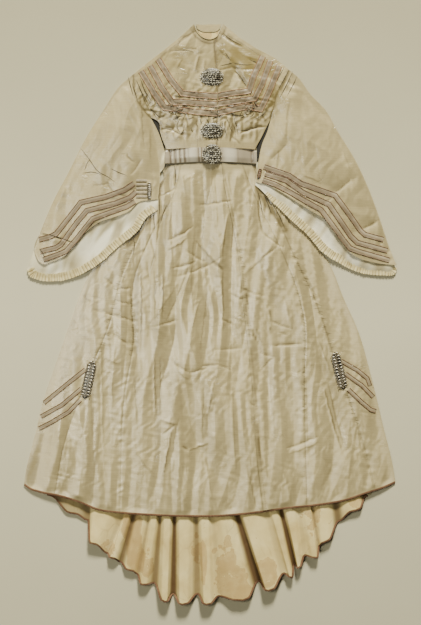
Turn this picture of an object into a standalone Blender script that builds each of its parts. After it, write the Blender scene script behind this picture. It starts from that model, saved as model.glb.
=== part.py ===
"""Afternoon dress of silk taffeta, laid flat on its back with the train spread below the front hem.

Millimetres until the meshes are made, then metres. X runs across the dress, Y from the train hem
up to the neck, and Z up from the surface on which it lies. "right" and "left" are the wearer's, so
the right side has negative X. Each piece is a cloth wall between an underside and a top that follow
one height function for each layer, so that seams meet and what lies on a panel takes its form.
"""
import math

import bmesh
import bpy
import numpy as np
from mathutils import Vector
from mathutils.bvhtree import BVHTree

MM = 0.001
SIDES = ("right", "left")

# Thickness of the layers and the gaps between them
SILK = 1.4            # taffeta with its backing
LINING = 1.0          # white silk in the sleeves, cotton in the train
SEAM_GAP = 0.36       # across a seam, in the plane of the cloth
LAYER_GAP = 0.35      # between two layers that lie on each other
SLEEVE_GAP = 0.95     # between the lining and the front of a sleeve
TRIM_GAP = 0.40       # under a band or an ornament

# Heights of the main lines above the middle of the skirt
WAIST_Y = 474.0
BELT_TOP_Y = 498.0
BELT_WIDTH = 42.0
BELT_BOW = 6.0        # its middle lies this much higher than its ends
BELT_WALL = 1.5
BELT_SIDE_GAP = 1.0
BELT_LIFT = 2.0       # the back rises this much to pass over the belt
BELT_REACH = 28.0     # half the length over which it stays up
BELT_RUN = 45.0       # and the length over which it comes down

# Fullness: how high the cloth stands away from its folded edges
SKIRT_RISE_WAIST = 10.0
SKIRT_RISE_HEM = 16.0
SKIRT_RISE_RUN = 90.0
UPPER_RISE = 11.0
UPPER_RISE_RUN = 45.0
SLEEVE_CLEAR = 4.4    # the sleeves lie on the sides of the skirt
SLEEVE_RAMP = 55.0
SLEEVE_WAIST_RUN = 30.0   # and come down to the floor this far each side of the waist
SKIRT_CALM = 60.0     # the folds die away this near to the edges of the skirt
SKIRT_CALM_TOP = 40.0     # and this far below the waist
UPPER_CALM = 35.0     # likewise at the edges of the bodice and the sleeves
BODICE_CALM_Y = 520.0
BODICE_CALM_RUN = 30.0
FOLD_END_RUN = 12.0   # a fold fades out at its ends over this and most of its width
FOLD_END_SHARE = 0.8

# Outlines, as (x, y) in mm, smooth between the points
NECK = {"right": (-50, 869), "left": (38, 869)}
ARM_TOP = {"right": (-232, 718), "left": (236, 731)}
UNDERARM = {"right": (-180, 590), "left": (181, 586)}
WAIST_SIDE = {"right": (-122, WAIST_Y), "left": (128, WAIST_Y)}
SHOULDER = {
    "right": [NECK["right"], (-106, 817), (-166, 771), (-211, 735), ARM_TOP["right"]],
    "left": [NECK["left"], (88, 827), (142, 793), (208, 757), ARM_TOP["left"]],
}
ARMSCYE = {
    "right": [ARM_TOP["right"], (-229, 675), (-214, 630), UNDERARM["right"]],
    "left": [ARM_TOP["left"], (214, 688), (195, 645), UNDERARM["left"]],
}
BODICE_SIDE = {
    "right": [UNDERARM["right"], (-155, 575), (-151, 545), (-138, 508), WAIST_SIDE["right"]],
    "left": [UNDERARM["left"], (168, 560), (152, 528), (135, 496), WAIST_SIDE["left"]],
}
SLEEVE_OUTER = {
    "right": [ARM_TOP["right"], (-271, 684), (-320, 612), (-376, 522), (-425, 425), (-469, 342),
              (-507, 252), (-528, 192)],
    "left": [ARM_TOP["left"], (262, 709), (298, 660), (345, 610), (378, 552), (433, 462),
             (475, 372), (508, 282), (538, 192)],
}
SLEEVE_TIP = {"right": (-550, 132), "left": (559, 138)}
SLEEVE_FRONT_TIP = {"right": (-525, 178), "left": (556, 146)}
SLEEVE_FRONT_INNER = {
    "right": [UNDERARM["right"], (-174, 552), (-160, 492), (-151, 432), (-154, 372), (-157, 343)],
    "left": [UNDERARM["left"], (172, 552), (154, 507), (145, 462), (139, 426), (136, 395)],
}
SLEEVE_BACK_INNER = {
    "right": [UNDERARM["right"], (-157, 546), (-143, 507), (-133, 440), (-142, 357), (-157, 312)],
    "left": [UNDERARM["left"], (171, 549), (153, 503), (144, 458), (137, 412), (134, 386)],
}
SLEEVE_FRONT_HEM = {
    "right": [SLEEVE_FRONT_TIP["right"], (-514, 158), (-500, 149), (-475, 156), (-440, 171),
              (-400, 211), (-367, 250), (-335, 273), (-283, 291), (-244, 307), (-211, 336),
              (-190, 340), (-157, 343)],
    "left": [SLEEVE_FRONT_TIP["left"], (496, 153), (447, 166), (417, 184), (397, 210), (364, 255),
             (339, 286), (310, 303), (271, 327), (217, 361), (170, 386), (136, 395)],
}
SLEEVE_HEM = {
    "right": [SLEEVE_TIP["right"], (-541, 114), (-517, 102), (-451, 99), (-385, 120), (-331, 153),
              (-271, 204), (-217, 249), (-190, 288), (-157, 312)],
    "left": [SLEEVE_TIP["left"], (553, 122), (508, 115), (448, 124), (388, 151), (331, 189),
             (292, 234), (238, 284), (187, 333), (154, 369), (134, 386)],
}
FRONT_NECKLINE = [NECK["right"], (-44, 852), (-34, 837), (-19, 826), (0, 822), (19, 831),
                  (27, 847), NECK["left"]]
BACK_NECKLINE = [NECK["right"], (-41, 853), (-28, 846), (0, 844), (20, 846), (30, 853),
                 NECK["left"]]
CLOSURE_EDGE = [(18, WAIST_Y), (19, 560), (22, 642), (19, 702), (16, 762), (12, 806), (19, 831)]
UNDERLAP_X = -16.0    # the left front runs on to here below the right one
CLOSURE_LAP = 1.9     # height of the right front over the left one
CLOSURE_RAMP = 45.0

ARMSCYE_STEPS = 5
SIDE_STEPS = 5
SLEEVE_ROWS = 11
LINING_ROW = 4        # the sleeve lining starts at this row
LINING_TOP_Y = 625.0  # the front layers rise over it from here down
LINING_RUN = 80.0
# Small pieces at the neck: lower edge, upper edge, wall and finish
NECK_PIECES = [
    ("neckband", [(-40, 856), (-27, 848), (0, 846), (19, 848), (28, 856)],
     [(-43, 869), (-30, 867), (-6, 868), (18, 868), (31, 869)], SILK, "silk_taffeta"),
    ("neck_lining", [(-30, 812), (0, 800), (18, 812)],
     [(-36, 847), (-22, 843), (0, 842), (14, 843), (24, 847)], LINING, "cotton_lining"),
]

SKIRT_EDGE = {
    "right": [WAIST_SIDE["right"], (-126, 440), (-200, 333), (-290, 215), (-356, 129), (-373, 99),
              (-418, -18), (-459, -138), (-501, -258), (-529, -378), (-550, -455), (-559, -513)],
    "left": [WAIST_SIDE["left"], (136, 438), (215, 330), (298, 226), (359, 144), (397, 51),
             (441, -48), (484, -198), (520, -348), (545, -450), (554, -506)],
}
FRONT_HEM = [(-559, -513), (-541, -525), (-511, -534), (-451, -546), (-391, -564), (-340, -585),
             (-271, -595), (-151, -603), (-31, -606), (58, -603), (133, -595), (223, -582),
             (313, -573), (403, -558), (463, -538), (523, -519), (554, -506)]

# Seams between the six front gores, from the waist to the hem, right side first
GORE_SEAMS = [
    [(-108, WAIST_Y), (-190, 285), (-277, 78), (-301, -24), (-346, -138), (-442, -408), (-466, -540)],
    [(-84, WAIST_Y), (-106, 372), (-180, 230), (-229, 102), (-232, -93), (-256, -235), (-272, -595)],
    [(30, WAIST_Y), (62, 330), (90, 190), (106, 42), (121, -93), (136, -243), (146, -408), (167, -591)],
    [(85, WAIST_Y), (135, 350), (205, 205), (259, 72), (277, -3), (281, -198), (284, -408),
     (288, -576)],
    [(112, WAIST_Y), (179, 333), (259, 156), (313, 42), (364, -108), (454, -378), (494, -528)],
]
OPENING_SEAM = 2      # the skirt opens here: the gore on its left side laps over
OPENING_LAP = 9.0
OPENING_RAMP = 45.0
OPENING_START = 0.1   # the lap is full from this share of the seam down
OPENING_HEIGHT = SILK + 1.3
FRONT_HEM_Y = -560.0  # mean height of the front hem
GORE_NAMES = ["skirt_side_front_right", "skirt_gore_right", "skirt_front_right",
              "skirt_front_left", "skirt_gore_left", "skirt_side_front_left"]
GORE_COLUMNS = [4, 5, 8, 5, 5, 4]
GORE_ROWS = np.array([0.0, 0.027, 0.075, 0.15, 0.25, 0.36, 0.47, 0.58, 0.69, 0.80, 0.90, 1.0])
BACK_ROWS = np.array([0.0, 0.027, 0.075, 0.2, 0.36, 0.52, 0.68, 0.84])
BACK_COLUMNS = 7      # in each breadth, above the pleats

# Pleats of the train. A row is a crest and the valley on its left side: where each leaves the
# front hem (x), where it meets the train hem (x, y), and how high it stands there
# Columns: crest top x, crest x, y and height, valley top x, valley x, y and height
PLEATS = [
    (-421, -421, -597, 5, -366, -368, -619, 3),
    (-334, -361, -685, 20, -259, -310, -717, 6),
    (-249, -298, -730, 18, -229, -271, -744, 2),
    (-202, -241, -768, 13, -183, -220, -780, 6),
    (-169, -205, -810, 20, -150, -169, -807, 3),
    (-130, -136, -861, 25, -108, -112, -840, 1),
    (-82, -85, -869, 24, -42, -39, -840, 4),
    (-16, -13, -869, 24, 5, 25, -846, 9),
    (46, 97, -857, 20, 81, 144, -802, 0),
    (106, 172, -828, 25, 172, 220, -778, 9),
    (187, 244, -789, 18, 211, 252, -753, 0),
    (235, 262, -760, 22, 265, 283, -724, 8),
    (295, 319, -730, 18, 304, 327, -696, 5),
    (331, 340, -684, 16, 376, 385, -622, 2),
    (424, 439, -588, 12, 463, 466, -549, 0),
]
TRAIN_ENDS = [(-559, -559, -513, 0), (-505, -508, -539, 1), (520, 522, -519, 0), (554, 554, -506, 0)]
BOUND_FROM = 1.2      # the braid runs between these stations, counted from each end
BOUND_TO = 1.8
PLEAT_STEPS = 2       # columns between a crest and its valley
PLEAT_ROWS = (-1.0, -0.15, 0.3, 0.7, 1.0)
PLEAT_FADE_Y = 170.0  # above the front hem the pleats lie flat
PLEAT_AT_HEM = 0.45   # share of their height where the front hem lies on them
PLEAT_SHORTEST = 8.0  # least length of cloth between the two hems

# Long soft folds of the laid cloth. Columns: x and y of one end, x and y of the other, half width,
# height (minus for a trough)
SKIRT_FOLDS = [
    (-104, 440, -110, 380, 9, -3.0), (-145, 300, -178, 120, 16, -3.5),
    (-112, 400, -128, 225, 12, 3.0), (53, 300, 36, 155, 12, 3.0),
    (-60, 400, -150, -30, 26, 4.0), (12, 380, 20, -120, 30, 3.5),
    (-232, 110, -226, -110, 13, -4.0), (-172, -60, -168, -420, 16, -3.0),
    (-95, -150, -75, -540, 28, 3.5), (30, -180, 40, -540, 30, 3.0),
    (140, 160, 190, 20, 20, -3.5), (215, -120, 215, -540, 24, 3.5),
    (-345, -60, -335, -520, 24, 3.0), (345, -180, 395, -400, 18, -3.0),
    (-400, -160, -470, -440, 22, 2.5), (440, -200, 490, -420, 20, 2.5),
]
BODICE_FOLDS = [
    (-122, 786, -40, 792, 9, 2.0), (26, 857, 92, 802, 10, -2.0), (28, 790, 84, 744, 10, 2.2),
    (78, 725, 134, 640, 9, -2.5), (-170, 552, -85, 556, 8, -3.0), (88, 545, 172, 566, 8, -2.2),
    (40, 585, 62, 500, 10, 2.2), (-70, 560, -58, 500, 12, 1.6),
    (-95, 660, -95, 610, 70, 5.0), (115, 660, 115, 610, 70, 5.0),
]
SLEEVE_FOLDS = {
    "right": [(-205, 640, -190, 470, 26, 3.0), (-255, 660, -330, 430, 34, 3.5),
              (-300, 560, -440, 330, 26, -2.0), (-482, 230, -404, 210, 12, 2.0),
              (-235, 480, -270, 370, 24, 2.5)],
    "left": [(238, 640, 224, 510, 26, 3.0), (222, 500, 178, 430, 18, -3.0),
             (262, 660, 340, 430, 34, 3.5), (372, 366, 420, 402, 12, -2.0),
             (448, 252, 505, 282, 14, -2.0)],
}

# Trimming bands, as the (x, y) of the middle of each, with their mitred corners
BAND_WIDTH = 14.0
BAND_STEP = 34.0
PIPING = 3.2          # the raised edge of a band
PIPING_HEIGHT = 1.5
BAND_HEIGHT = 0.9
SLEEVE_BANDS = {
    "right": [
        [(-229, 391), (-256, 372), (-313, 351), (-388, 334), (-410, 306), (-462, 240), (-481, 231),
         (-514, 223)],
        [(-223, 366), (-241, 349), (-283, 332), (-370, 309), (-400, 274), (-448, 208), (-462, 199),
         (-510, 187)],
        [(-226, 337), (-250, 322), (-301, 304), (-352, 285), (-379, 252), (-406, 218), (-433, 188),
         (-457, 178), (-500, 163)],
    ],
    "left": [
        [(160, 441), (235, 415), (271, 391), (373, 355), (414, 300), (450, 249), (462, 238),
         (518, 223)],
        [(163, 420), (225, 401), (277, 364), (355, 328), (381, 290), (420, 233), (440, 214),
         (530, 190)],
        [(156, 401), (193, 388), (238, 365), (298, 330), (331, 312), (374, 254), (398, 221),
         (418, 197), (448, 186), (536, 161)],
    ],
}
CHEST_BANDS = {
    "right": [
        [(-157, 764), (-118, 700), (-85, 660), (-40, 655), (12, 651)],
        [(-181, 744), (-146, 678), (-115, 634), (-82, 634), (-40, 631), (12, 627)],
        [(-208, 728), (-168, 660), (-137, 618), (-82, 610), (-40, 604), (12, 600)],
    ],
    "left": [
        [(157, 773), (130, 715), (115, 668), (103, 665), (60, 660), (28, 653)],
        [(179, 759), (155, 690), (132, 645), (103, 640), (60, 634), (28, 629)],
        [(206, 743), (174, 662), (150, 614), (103, 620), (60, 610), (28, 602)],
    ],
}
HIP_BANDS = {
    "right": [
        [(-382, -172), (-424, -205), (-499, -266)],
        [(-395, -230), (-445, -272), (-508, -307)],
        [(-397, -264), (-424, -292), (-475, -323), (-514, -343)],
    ],
    "left": [
        [(400, -145), (440, -168), (470, -192), (478, -214)],
        [(412, -184), (453, -213), (488, -248)],
        [(420, -232), (453, -264), (480, -286), (496, -291)],
    ],
}
HIP_BAND_WIDTH = 11.0
HIP_TABS = {"right": ((-352, -140), (-377, -254)), "left": ((371, -114), (399, -226))}
HIP_TAB_WIDTH = 31.0
SLEEVE_TABS = {"right": ((-183, 394), (-183, 342)), "left": ((150, 436), (143, 404))}
SLEEVE_TAB_WIDTH = {"right": 14.0, "left": 12.0}
TAB_HEIGHT = 3.0
TAB_POINTS = 20
TAB_END_POWER = 0.35  # squareness of its outline
TAB_SIDE_POWER = 0.6
TAB_RINGS = ((1.0, 0.0), (1.0, 0.6), (0.8, 1.0))   # size and height

# Passementerie ornaments: middle (x, y) and size across and along the dress
ROSETTES = {
    "rosette_upper": (4, 708, 72, 57),
    "rosette_lower": (4, 548, 70, 50),
    "belt_ornament": (5, 478, 60, 62),
}
ROSETTE_HEIGHT = 6.0
ROSETTE_SCALLOPS = 14
# Columns: size, height, depth of the scallops
ROSETTE_RINGS = ((0.92, 0.0, 0.0), (1.0, 0.3, 0.05), (0.86, 0.62, 0.05), (0.62, 0.62, 0.0),
                 (0.5, 0.95, 0.0), (0.25, 1.0, 0.0))

RUCHE_WIDTH = 16.0
RUCHE_PLEATS = {"right": 54, "left": 58}
RUCHE_HEIGHT = 2.6
RUCHE_WALL = 1.0
RUCHE_INSET = 1.5     # from the edge of the sleeve
RUCHE_REACH = 9.0     # it is held up by the highest cloth within this
HEM_STEPS = 300
RUCHE_END = {"right": 296, "left": 278}   # of these steps along the hem, from the sleeve's tip
BRAID_WIDTH = 4.4
BRAID_HEIGHT = 2.6
BRAID_DROP = 0.5      # the braid hangs this much below the cloth that it binds
BELT_EASE = 16.0      # the belt rests on the highest cloth within this
BELT_INSIDE = 2.5     # and its ends are measured this far inside the cloth

FINISHES = {
    "silk_taffeta": ((0.46, 0.40, 0.29), 0.38, 0.0),
    "sleeve_lining": ((0.62, 0.60, 0.54), 0.45, 0.0),
    "cotton_lining": ((0.68, 0.59, 0.41), 0.85, 0.0),
    "ruche_ribbon": ((0.72, 0.64, 0.46), 0.60, 0.0),
    "satin_band": ((0.42, 0.36, 0.30), 0.40, 0.0),
    "belt_satin": ((0.56, 0.52, 0.50), 0.28, 0.0),
    "passementerie": ((0.26, 0.24, 0.20), 0.35, 0.3),
    "hem_braid": ((0.20, 0.10, 0.05), 0.70, 0.0),
}


def smooth(t):
    t = np.clip(t, 0.0, 1.0)
    return t * t * (3.0 - 2.0 * t)


def through(points, fractions):
    """Points on a smooth curve through the given ones, at these fractions of its length."""
    points = np.asarray(points, float)
    steps = np.maximum(np.linalg.norm(np.diff(points[:, :2], axis=0), axis=1), 1e-6)
    at = np.concatenate([[0.0], np.cumsum(steps)])
    slopes = np.diff(points, axis=0) / steps[:, None]
    tangents = np.vstack([slopes[:1], slopes, slopes[-1:]])
    weights = np.concatenate([[1.0], steps, [1.0]])[:, None]
    tangents = (tangents[:-1] * weights[1:] + tangents[1:] * weights[:-1])
    tangents /= (weights[1:] + weights[:-1])
    where = np.asarray(fractions, float) * at[-1]
    row = np.clip(np.searchsorted(at, where, side="right") - 1, 0, len(steps) - 1)
    t = ((where - at[row]) / steps[row])[:, None]
    h = steps[row][:, None]
    return ((2 * t**3 - 3 * t**2 + 1) * points[row] + (t**3 - 2 * t**2 + t) * h * tangents[row]
            + (3 * t**2 - 2 * t**3) * points[row + 1] + (t**3 - t**2) * h * tangents[row + 1])


def even(points, count):
    """The smooth curve in equal lengths."""
    fine = through(points, np.linspace(0, 1, 400))
    steps = np.linalg.norm(np.diff(fine[:, :2], axis=0), axis=1)
    at = np.concatenate([[0.0], np.cumsum(steps)]) / steps.sum()
    target = np.linspace(0, 1, count)
    return np.column_stack([np.interp(target, at, fine[:, i]) for i in range(fine.shape[1])])


def joined(*runs):
    """Runs of points end to end, the shared ends once."""
    out = [runs[0]]
    for run in runs[1:]:
        out.append(run[1:])
    return np.vstack(out)


def x_at(points, y):
    """x of an edge that runs down the dress, at these y."""
    fine = through(points, np.linspace(0, 1, 300))
    order = np.argsort(fine[:, 1])
    return np.interp(y, fine[order, 1], fine[order, 0])


def y_at(points, x):
    fine = through(points, np.linspace(0, 1, 300))
    return np.interp(x, fine[:, 0], fine[:, 1])


def patch(bottom, top, left, right):
    """Coons patch: a grid of rows from bottom to top between two side edges."""
    u = np.linspace(0, 1, len(bottom))[None, :, None]
    v = np.linspace(0, 1, len(left))[:, None, None]
    across = (1 - u) * left[:, None, :] + u * right[:, None, :]
    along = (1 - v) * bottom[None, :, :] + v * top[None, :, :]
    corners = ((1 - u) * (1 - v) * bottom[0] + u * (1 - v) * bottom[-1]
               + (1 - u) * v * top[0] + u * v * top[-1])
    return across + along - corners


def distance_to(lines, x, y):
    """Distance from each place to the nearest of these lines."""
    place = np.stack([x, y], axis=-1)
    nearest = np.full(x.shape, 1e9)
    for line in lines:
        for a, b in zip(line[:-1], line[1:]):
            run = b - a
            t = np.clip(((place - a) @ run) / (run @ run), 0, 1)
            away = np.linalg.norm(place - (a + t[..., None] * run), axis=-1)
            nearest = np.minimum(nearest, away)
    return nearest


def folds(table, x, y):
    """Sum of the soft folds in a table, each fading out at its ends."""
    total = np.zeros(np.shape(x))
    for x0, y0, x1, y1, width, height in table:
        run = np.array([x1 - x0, y1 - y0], float)
        length = np.linalg.norm(run)
        run /= length
        along = (x - x0) * run[0] + (y - y0) * run[1]
        away = (x - x0) * run[1] - (y - y0) * run[0]
        beyond = np.maximum(np.maximum(-along, along - length), 0.0)
        fade = FOLD_END_SHARE * width + FOLD_END_RUN
        total += height * np.exp(-(away / width) ** 2 - (beyond / fade) ** 2)
    return total


UPPER_OUTLINE = [even(SHOULDER[s], 14) for s in SIDES] + [even(SLEEVE_OUTER[s], 24) for s in SIDES]
UPPER_OUTLINE += [even(BODICE_SIDE[s], 10) for s in SIDES]
SLEEVE_OUTLINE = {s: [even(SLEEVE_OUTER[s], 24), even(SLEEVE_FRONT_INNER[s], 12),
                      even(SHOULDER[s], 14)] for s in SIDES}


def waist_lift(y):
    """The cloth behind the waist passes over the back of the belt."""
    return BELT_LIFT * smooth((BELT_REACH + BELT_RUN - np.abs(y - WAIST_Y)) / BELT_RUN)


def skirt_edge_distance(x, y):
    return np.minimum(x - x_at(SKIRT_EDGE["right"], y), x_at(SKIRT_EDGE["left"], y) - x)


def skirt_rise(distance, y):
    full = np.interp(y, [FRONT_HEM_Y, WAIST_Y], [SKIRT_RISE_HEM, SKIRT_RISE_WAIST])
    return full * (1.0 - np.exp(-np.maximum(distance, 0.0) / SKIRT_RISE_RUN))


def skirt_front_under(x, y):
    """Underside of the front gores."""
    distance = skirt_edge_distance(x, y)
    calm = smooth(distance / SKIRT_CALM) * smooth((WAIST_Y - SKIRT_CALM_TOP - y) / SKIRT_CALM)
    base = SILK + LAYER_GAP + waist_lift(y) + skirt_rise(distance, y)
    return base + calm * folds(SKIRT_FOLDS, x, y)


def lap_over_opening(x, y):
    """The gore left of the opening lies on its neighbour."""
    past = x - x_at(GORE_SEAMS[OPENING_SEAM], y)
    return OPENING_HEIGHT * (1.0 - smooth(past / OPENING_RAMP))


def sleeve_support(x, y):
    """What the sleeves lie on: the floor, then the sides of the skirt."""
    distance = skirt_edge_distance(x, y)
    step = SLEEVE_CLEAR * smooth((distance + SLEEVE_RAMP) / SLEEVE_RAMP)
    below_waist = smooth((WAIST_Y + SLEEVE_WAIST_RUN - y) / (2 * SLEEVE_WAIST_RUN))
    over_belt = waist_lift(y) * smooth(distance / SLEEVE_WAIST_RUN + 1)
    return (step + skirt_rise(distance, y) + over_belt) * below_waist


def upper_base(y):
    """The front layers lie a little higher where the sleeve lining comes between."""
    return SILK + LAYER_GAP + (LINING + SLEEVE_GAP) * smooth((LINING_TOP_Y - y) / LINING_RUN)


def bodice_under(x, y):
    distance = distance_to(UPPER_OUTLINE, x, y)
    rise = UPPER_RISE * (1.0 - np.exp(-distance / UPPER_RISE_RUN))
    calm = smooth(distance / UPPER_CALM) * smooth((y - BODICE_CALM_Y) / BODICE_CALM_RUN)
    return upper_base(y) + waist_lift(y) + rise + calm * folds(BODICE_FOLDS, x, y)


def sleeve_front_under(side):
    def under(x, y):
        distance = distance_to(SLEEVE_OUTLINE[side] + UPPER_OUTLINE[4:], x, y)
        rise = UPPER_RISE * (1.0 - np.exp(-distance / UPPER_RISE_RUN))
        calm = smooth(distance / UPPER_CALM)
        return upper_base(y) + sleeve_support(x, y) + rise + calm * folds(SLEEVE_FOLDS[side], x, y)
    return under


def make(name, points, faces, finish):
    """A solid from points in mm, its faces turned outwards."""
    mesh = bpy.data.meshes.new(name)
    mesh.from_pydata([tuple(float(c) * MM for c in p) for p in points], [], faces)
    mesh.validate()
    shape = bmesh.new()
    shape.from_mesh(mesh)
    bmesh.ops.triangulate(shape, faces=shape.faces)
    bmesh.ops.recalc_face_normals(shape, faces=shape.faces)
    if shape.calc_volume(signed=True) < 0:
        bmesh.ops.reverse_faces(shape, faces=shape.faces)
    shape.to_mesh(mesh)
    shape.free()
    mesh.materials.append(FINISH_MATERIALS[finish])
    mesh.shade_smooth()
    mesh.set_sharp_from_angle(angle=math.radians(50))
    piece = bpy.data.objects.new(name, mesh)
    bpy.context.scene.collection.objects.link(piece)
    return piece


def strip(first, second):
    """Faces between two rows of point numbers, which may differ in count."""
    faces = []
    i = j = 0
    while i < len(first) - 1 or j < len(second) - 1:
        ahead = (i + 1) * (len(second) - 1) <= (j + 1) * (len(first) - 1)
        if j == len(second) - 1 or (i < len(first) - 1 and ahead):
            faces.append((first[i], first[i + 1], second[j]))
            i += 1
        else:
            faces.append((first[i], second[j + 1], second[j]))
            j += 1
    return faces


def between(name, lower, upper, finish, closed=False):
    """A solid between two layers of rows of points, its rim closed. closed joins the row ends."""
    points, numbers = [], ([], [])
    for layer, rows in zip(numbers, (lower, upper)):
        for row in rows:
            ids = list(range(len(points), len(points) + len(row)))
            points += [tuple(p) for p in row]
            layer.append(ids + ids[:1] if closed else ids)
    faces = []
    for layer in numbers:
        for first, second in zip(layer[:-1], layer[1:]):
            faces += strip(first, second)
    below, above = numbers
    faces += strip(below[0], above[0]) + strip(below[-1], above[-1])
    if not closed:
        for end in (0, -1):
            faces += strip([ids[end] for ids in below], [ids[end] for ids in above])
    return make(name, points, faces, finish)


def cloth(name, grid, under, wall, finish):
    """A wall of cloth on a grid of (x, y), resting on the height under(x, y)."""
    z = under(grid[..., 0], grid[..., 1])
    lower = np.dstack([grid, z])
    upper = np.dstack([grid, z + wall])
    return between(name, lower, upper, finish)


class Support:
    """The top of pieces already made, for what is laid on them."""

    def __init__(self, *pieces):
        self.trees = []
        for piece in pieces:
            shape = bmesh.new()
            shape.from_mesh(piece.data)
            self.trees.append(BVHTree.FromBMesh(shape))
            shape.free()

    def height(self, x, y, reach):
        """Highest point within reach of (x, y), in mm."""
        best = -1.0
        for ring in (0.0, 0.5, 1.0):
            for k in range(8 if ring else 1):
                angle = k * math.pi / 4
                start = Vector(((x + ring * reach * math.cos(angle)) * MM,
                                (y + ring * reach * math.sin(angle)) * MM, 1.0))
                for tree in self.trees:
                    hit = tree.ray_cast(start, Vector((0, 0, -1)))[0]
                    if hit is not None:
                        best = max(best, hit.z / MM)
        return best


def offset_line(line, width):
    """A mitred line beside this one, to its left by width."""
    runs = np.diff(line, axis=0)
    runs /= np.linalg.norm(runs, axis=1)[:, None]
    normals = np.column_stack([-runs[:, 1], runs[:, 0]])
    first = np.vstack([normals[:1], normals])
    second = np.vstack([normals, normals[-1:]])
    middle = first + second
    middle /= np.linalg.norm(middle, axis=1)[:, None]
    stretch = 1.0 / np.maximum((middle * first).sum(axis=1), 0.6)
    return line + middle * (stretch * width)[:, None]


def divided_evenly(line, parts):
    """The same line with each run cut into this many."""
    out = [line[0]]
    for a, b in zip(line[:-1], line[1:]):
        out += [a + (b - a) * k / parts for k in range(1, parts + 1)]
    return np.array(out)


def divided(line, length):
    """A line with its corners kept and its runs cut into equal steps of about this length."""
    out = [line[0]]
    for a, b in zip(line[:-1], line[1:]):
        count = max(1, round(float(np.linalg.norm(b - a)) / length))
        out += [a + (b - a) * k / count for k in range(1, count + 1)]
    return np.array(out)


def seat(grid, support, count=6):
    """Heights at which the stations of a strip rest on what is below, all along it."""
    z = np.array([max(support.height(x, y, 2.0) for x, y in row) for row in grid])
    raised = z.copy()
    for k in range(len(grid) - 1):
        short = 0.0
        for part in np.linspace(0, 1, count + 2)[1:-1]:
            row = grid[k] * (1 - part) + grid[k + 1] * part
            top = max(support.height(x, y, 3.0) for x, y in row)
            short = max(short, top - (z[k] * (1 - part) + z[k + 1] * part))
        raised[k] = max(raised[k], z[k] + short)
        raised[k + 1] = max(raised[k + 1], z[k + 1] + short)
    return raised + TRIM_GAP


def band(name, line, width, support):
    """A flat satin band with a raised piping along each edge, laid on a panel."""
    line = divided(np.array(line, float), BAND_STEP)
    across = (-0.5 * width, -0.5 * width + PIPING, 0.5 * width - PIPING, 0.5 * width)
    heights = np.array([PIPING_HEIGHT, BAND_HEIGHT, BAND_HEIGHT, PIPING_HEIGHT])
    grid = np.stack([offset_line(line, a) for a in across], axis=1)
    base = np.repeat(seat(grid, support)[:, None], len(across), axis=1)
    return between(name, np.dstack([grid, base]), np.dstack([grid, base + heights]), "satin_band")


def tab(name, ends, width, support):
    """A beaded tab: a low cushion with round ends that follows the cloth along its length."""
    ends = np.array(ends, float)
    run = ends[1] - ends[0]
    length = np.linalg.norm(run)
    run /= length
    side = np.array([-run[1], run[0]])
    middle = ends.mean(axis=0)
    stations = np.linspace(-0.5, 0.5, 6) * length
    grid = np.array([[middle + run * a + side * b * width for b in (-0.5, 0.0, 0.5)]
                     for a in stations])
    base = seat(grid, support)
    rings = []
    for size, height in TAB_RINGS:
        ring = []
        for k in range(TAB_POINTS):
            angle = 2 * math.pi * k / TAB_POINTS
            c, s = math.cos(angle), math.sin(angle)
            half = 0.5 * length - 0.5 * width * (1 - size)
            along = math.copysign(abs(c) ** TAB_END_POWER, c) * half
            out = math.copysign(abs(s) ** TAB_SIDE_POWER, s) * 0.5 * width * size
            z = float(np.interp(along, stations, base)) + TAB_HEIGHT * height
            ring.append((*(middle + run * along + side * out), z))
        rings.append(ring)
    return stacked(name, rings, "passementerie")


def stacked(name, rings, finish):
    """A solid from closed rings of points, capped at both ends."""
    count = len(rings[0])
    points = [p for ring in rings for p in ring]
    faces = [tuple(range(count)), tuple(range(len(points) - count, len(points)))]
    for r in range(len(rings) - 1):
        for k in range(count):
            a, b = r * count + k, r * count + (k + 1) % count
            faces.append((a, b, b + count, a + count))
    return make(name, points, faces, finish)


def rosette(name, support):
    """A stepped oval boss with a scalloped rim, as passementerie wound over a mould."""
    x, y, across, along = ROSETTES[name]
    base = support.height(x, y, 0.45 * along) + TRIM_GAP
    count = 2 * ROSETTE_SCALLOPS
    rings = []
    for size, height, scallop in ROSETTE_RINGS:
        ring = []
        for k in range(count):
            angle = 2 * math.pi * k / count
            radius = size * (1.0 - scallop * (k % 2))
            ring.append((x + 0.5 * across * radius * math.cos(angle),
                         y + 0.5 * along * radius * math.sin(angle),
                         base + ROSETTE_HEIGHT * height))
        rings.append(ring)
    return stacked(name, rings, "passementerie")


def seam_line(index):
    """A seam of the skirt front from waist to hem; -1 and 5 are its side edges."""
    if index < 0:
        return SKIRT_EDGE["right"]
    if index >= len(GORE_SEAMS):
        return SKIRT_EDGE["left"]
    return GORE_SEAMS[index]


def hem_stations():
    """x of every gore column at the front hem, and the number of each gore's first one."""
    x, first = [], []
    for k, columns in enumerate(GORE_COLUMNS):
        a, b = seam_line(k - 1)[-1][0], seam_line(k)[-1][0]
        first.append(len(x))
        x += list(np.linspace(a, b, columns + 1)[:-1])
    return np.array(x + [SKIRT_EDGE["left"][-1][0]]), first


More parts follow.
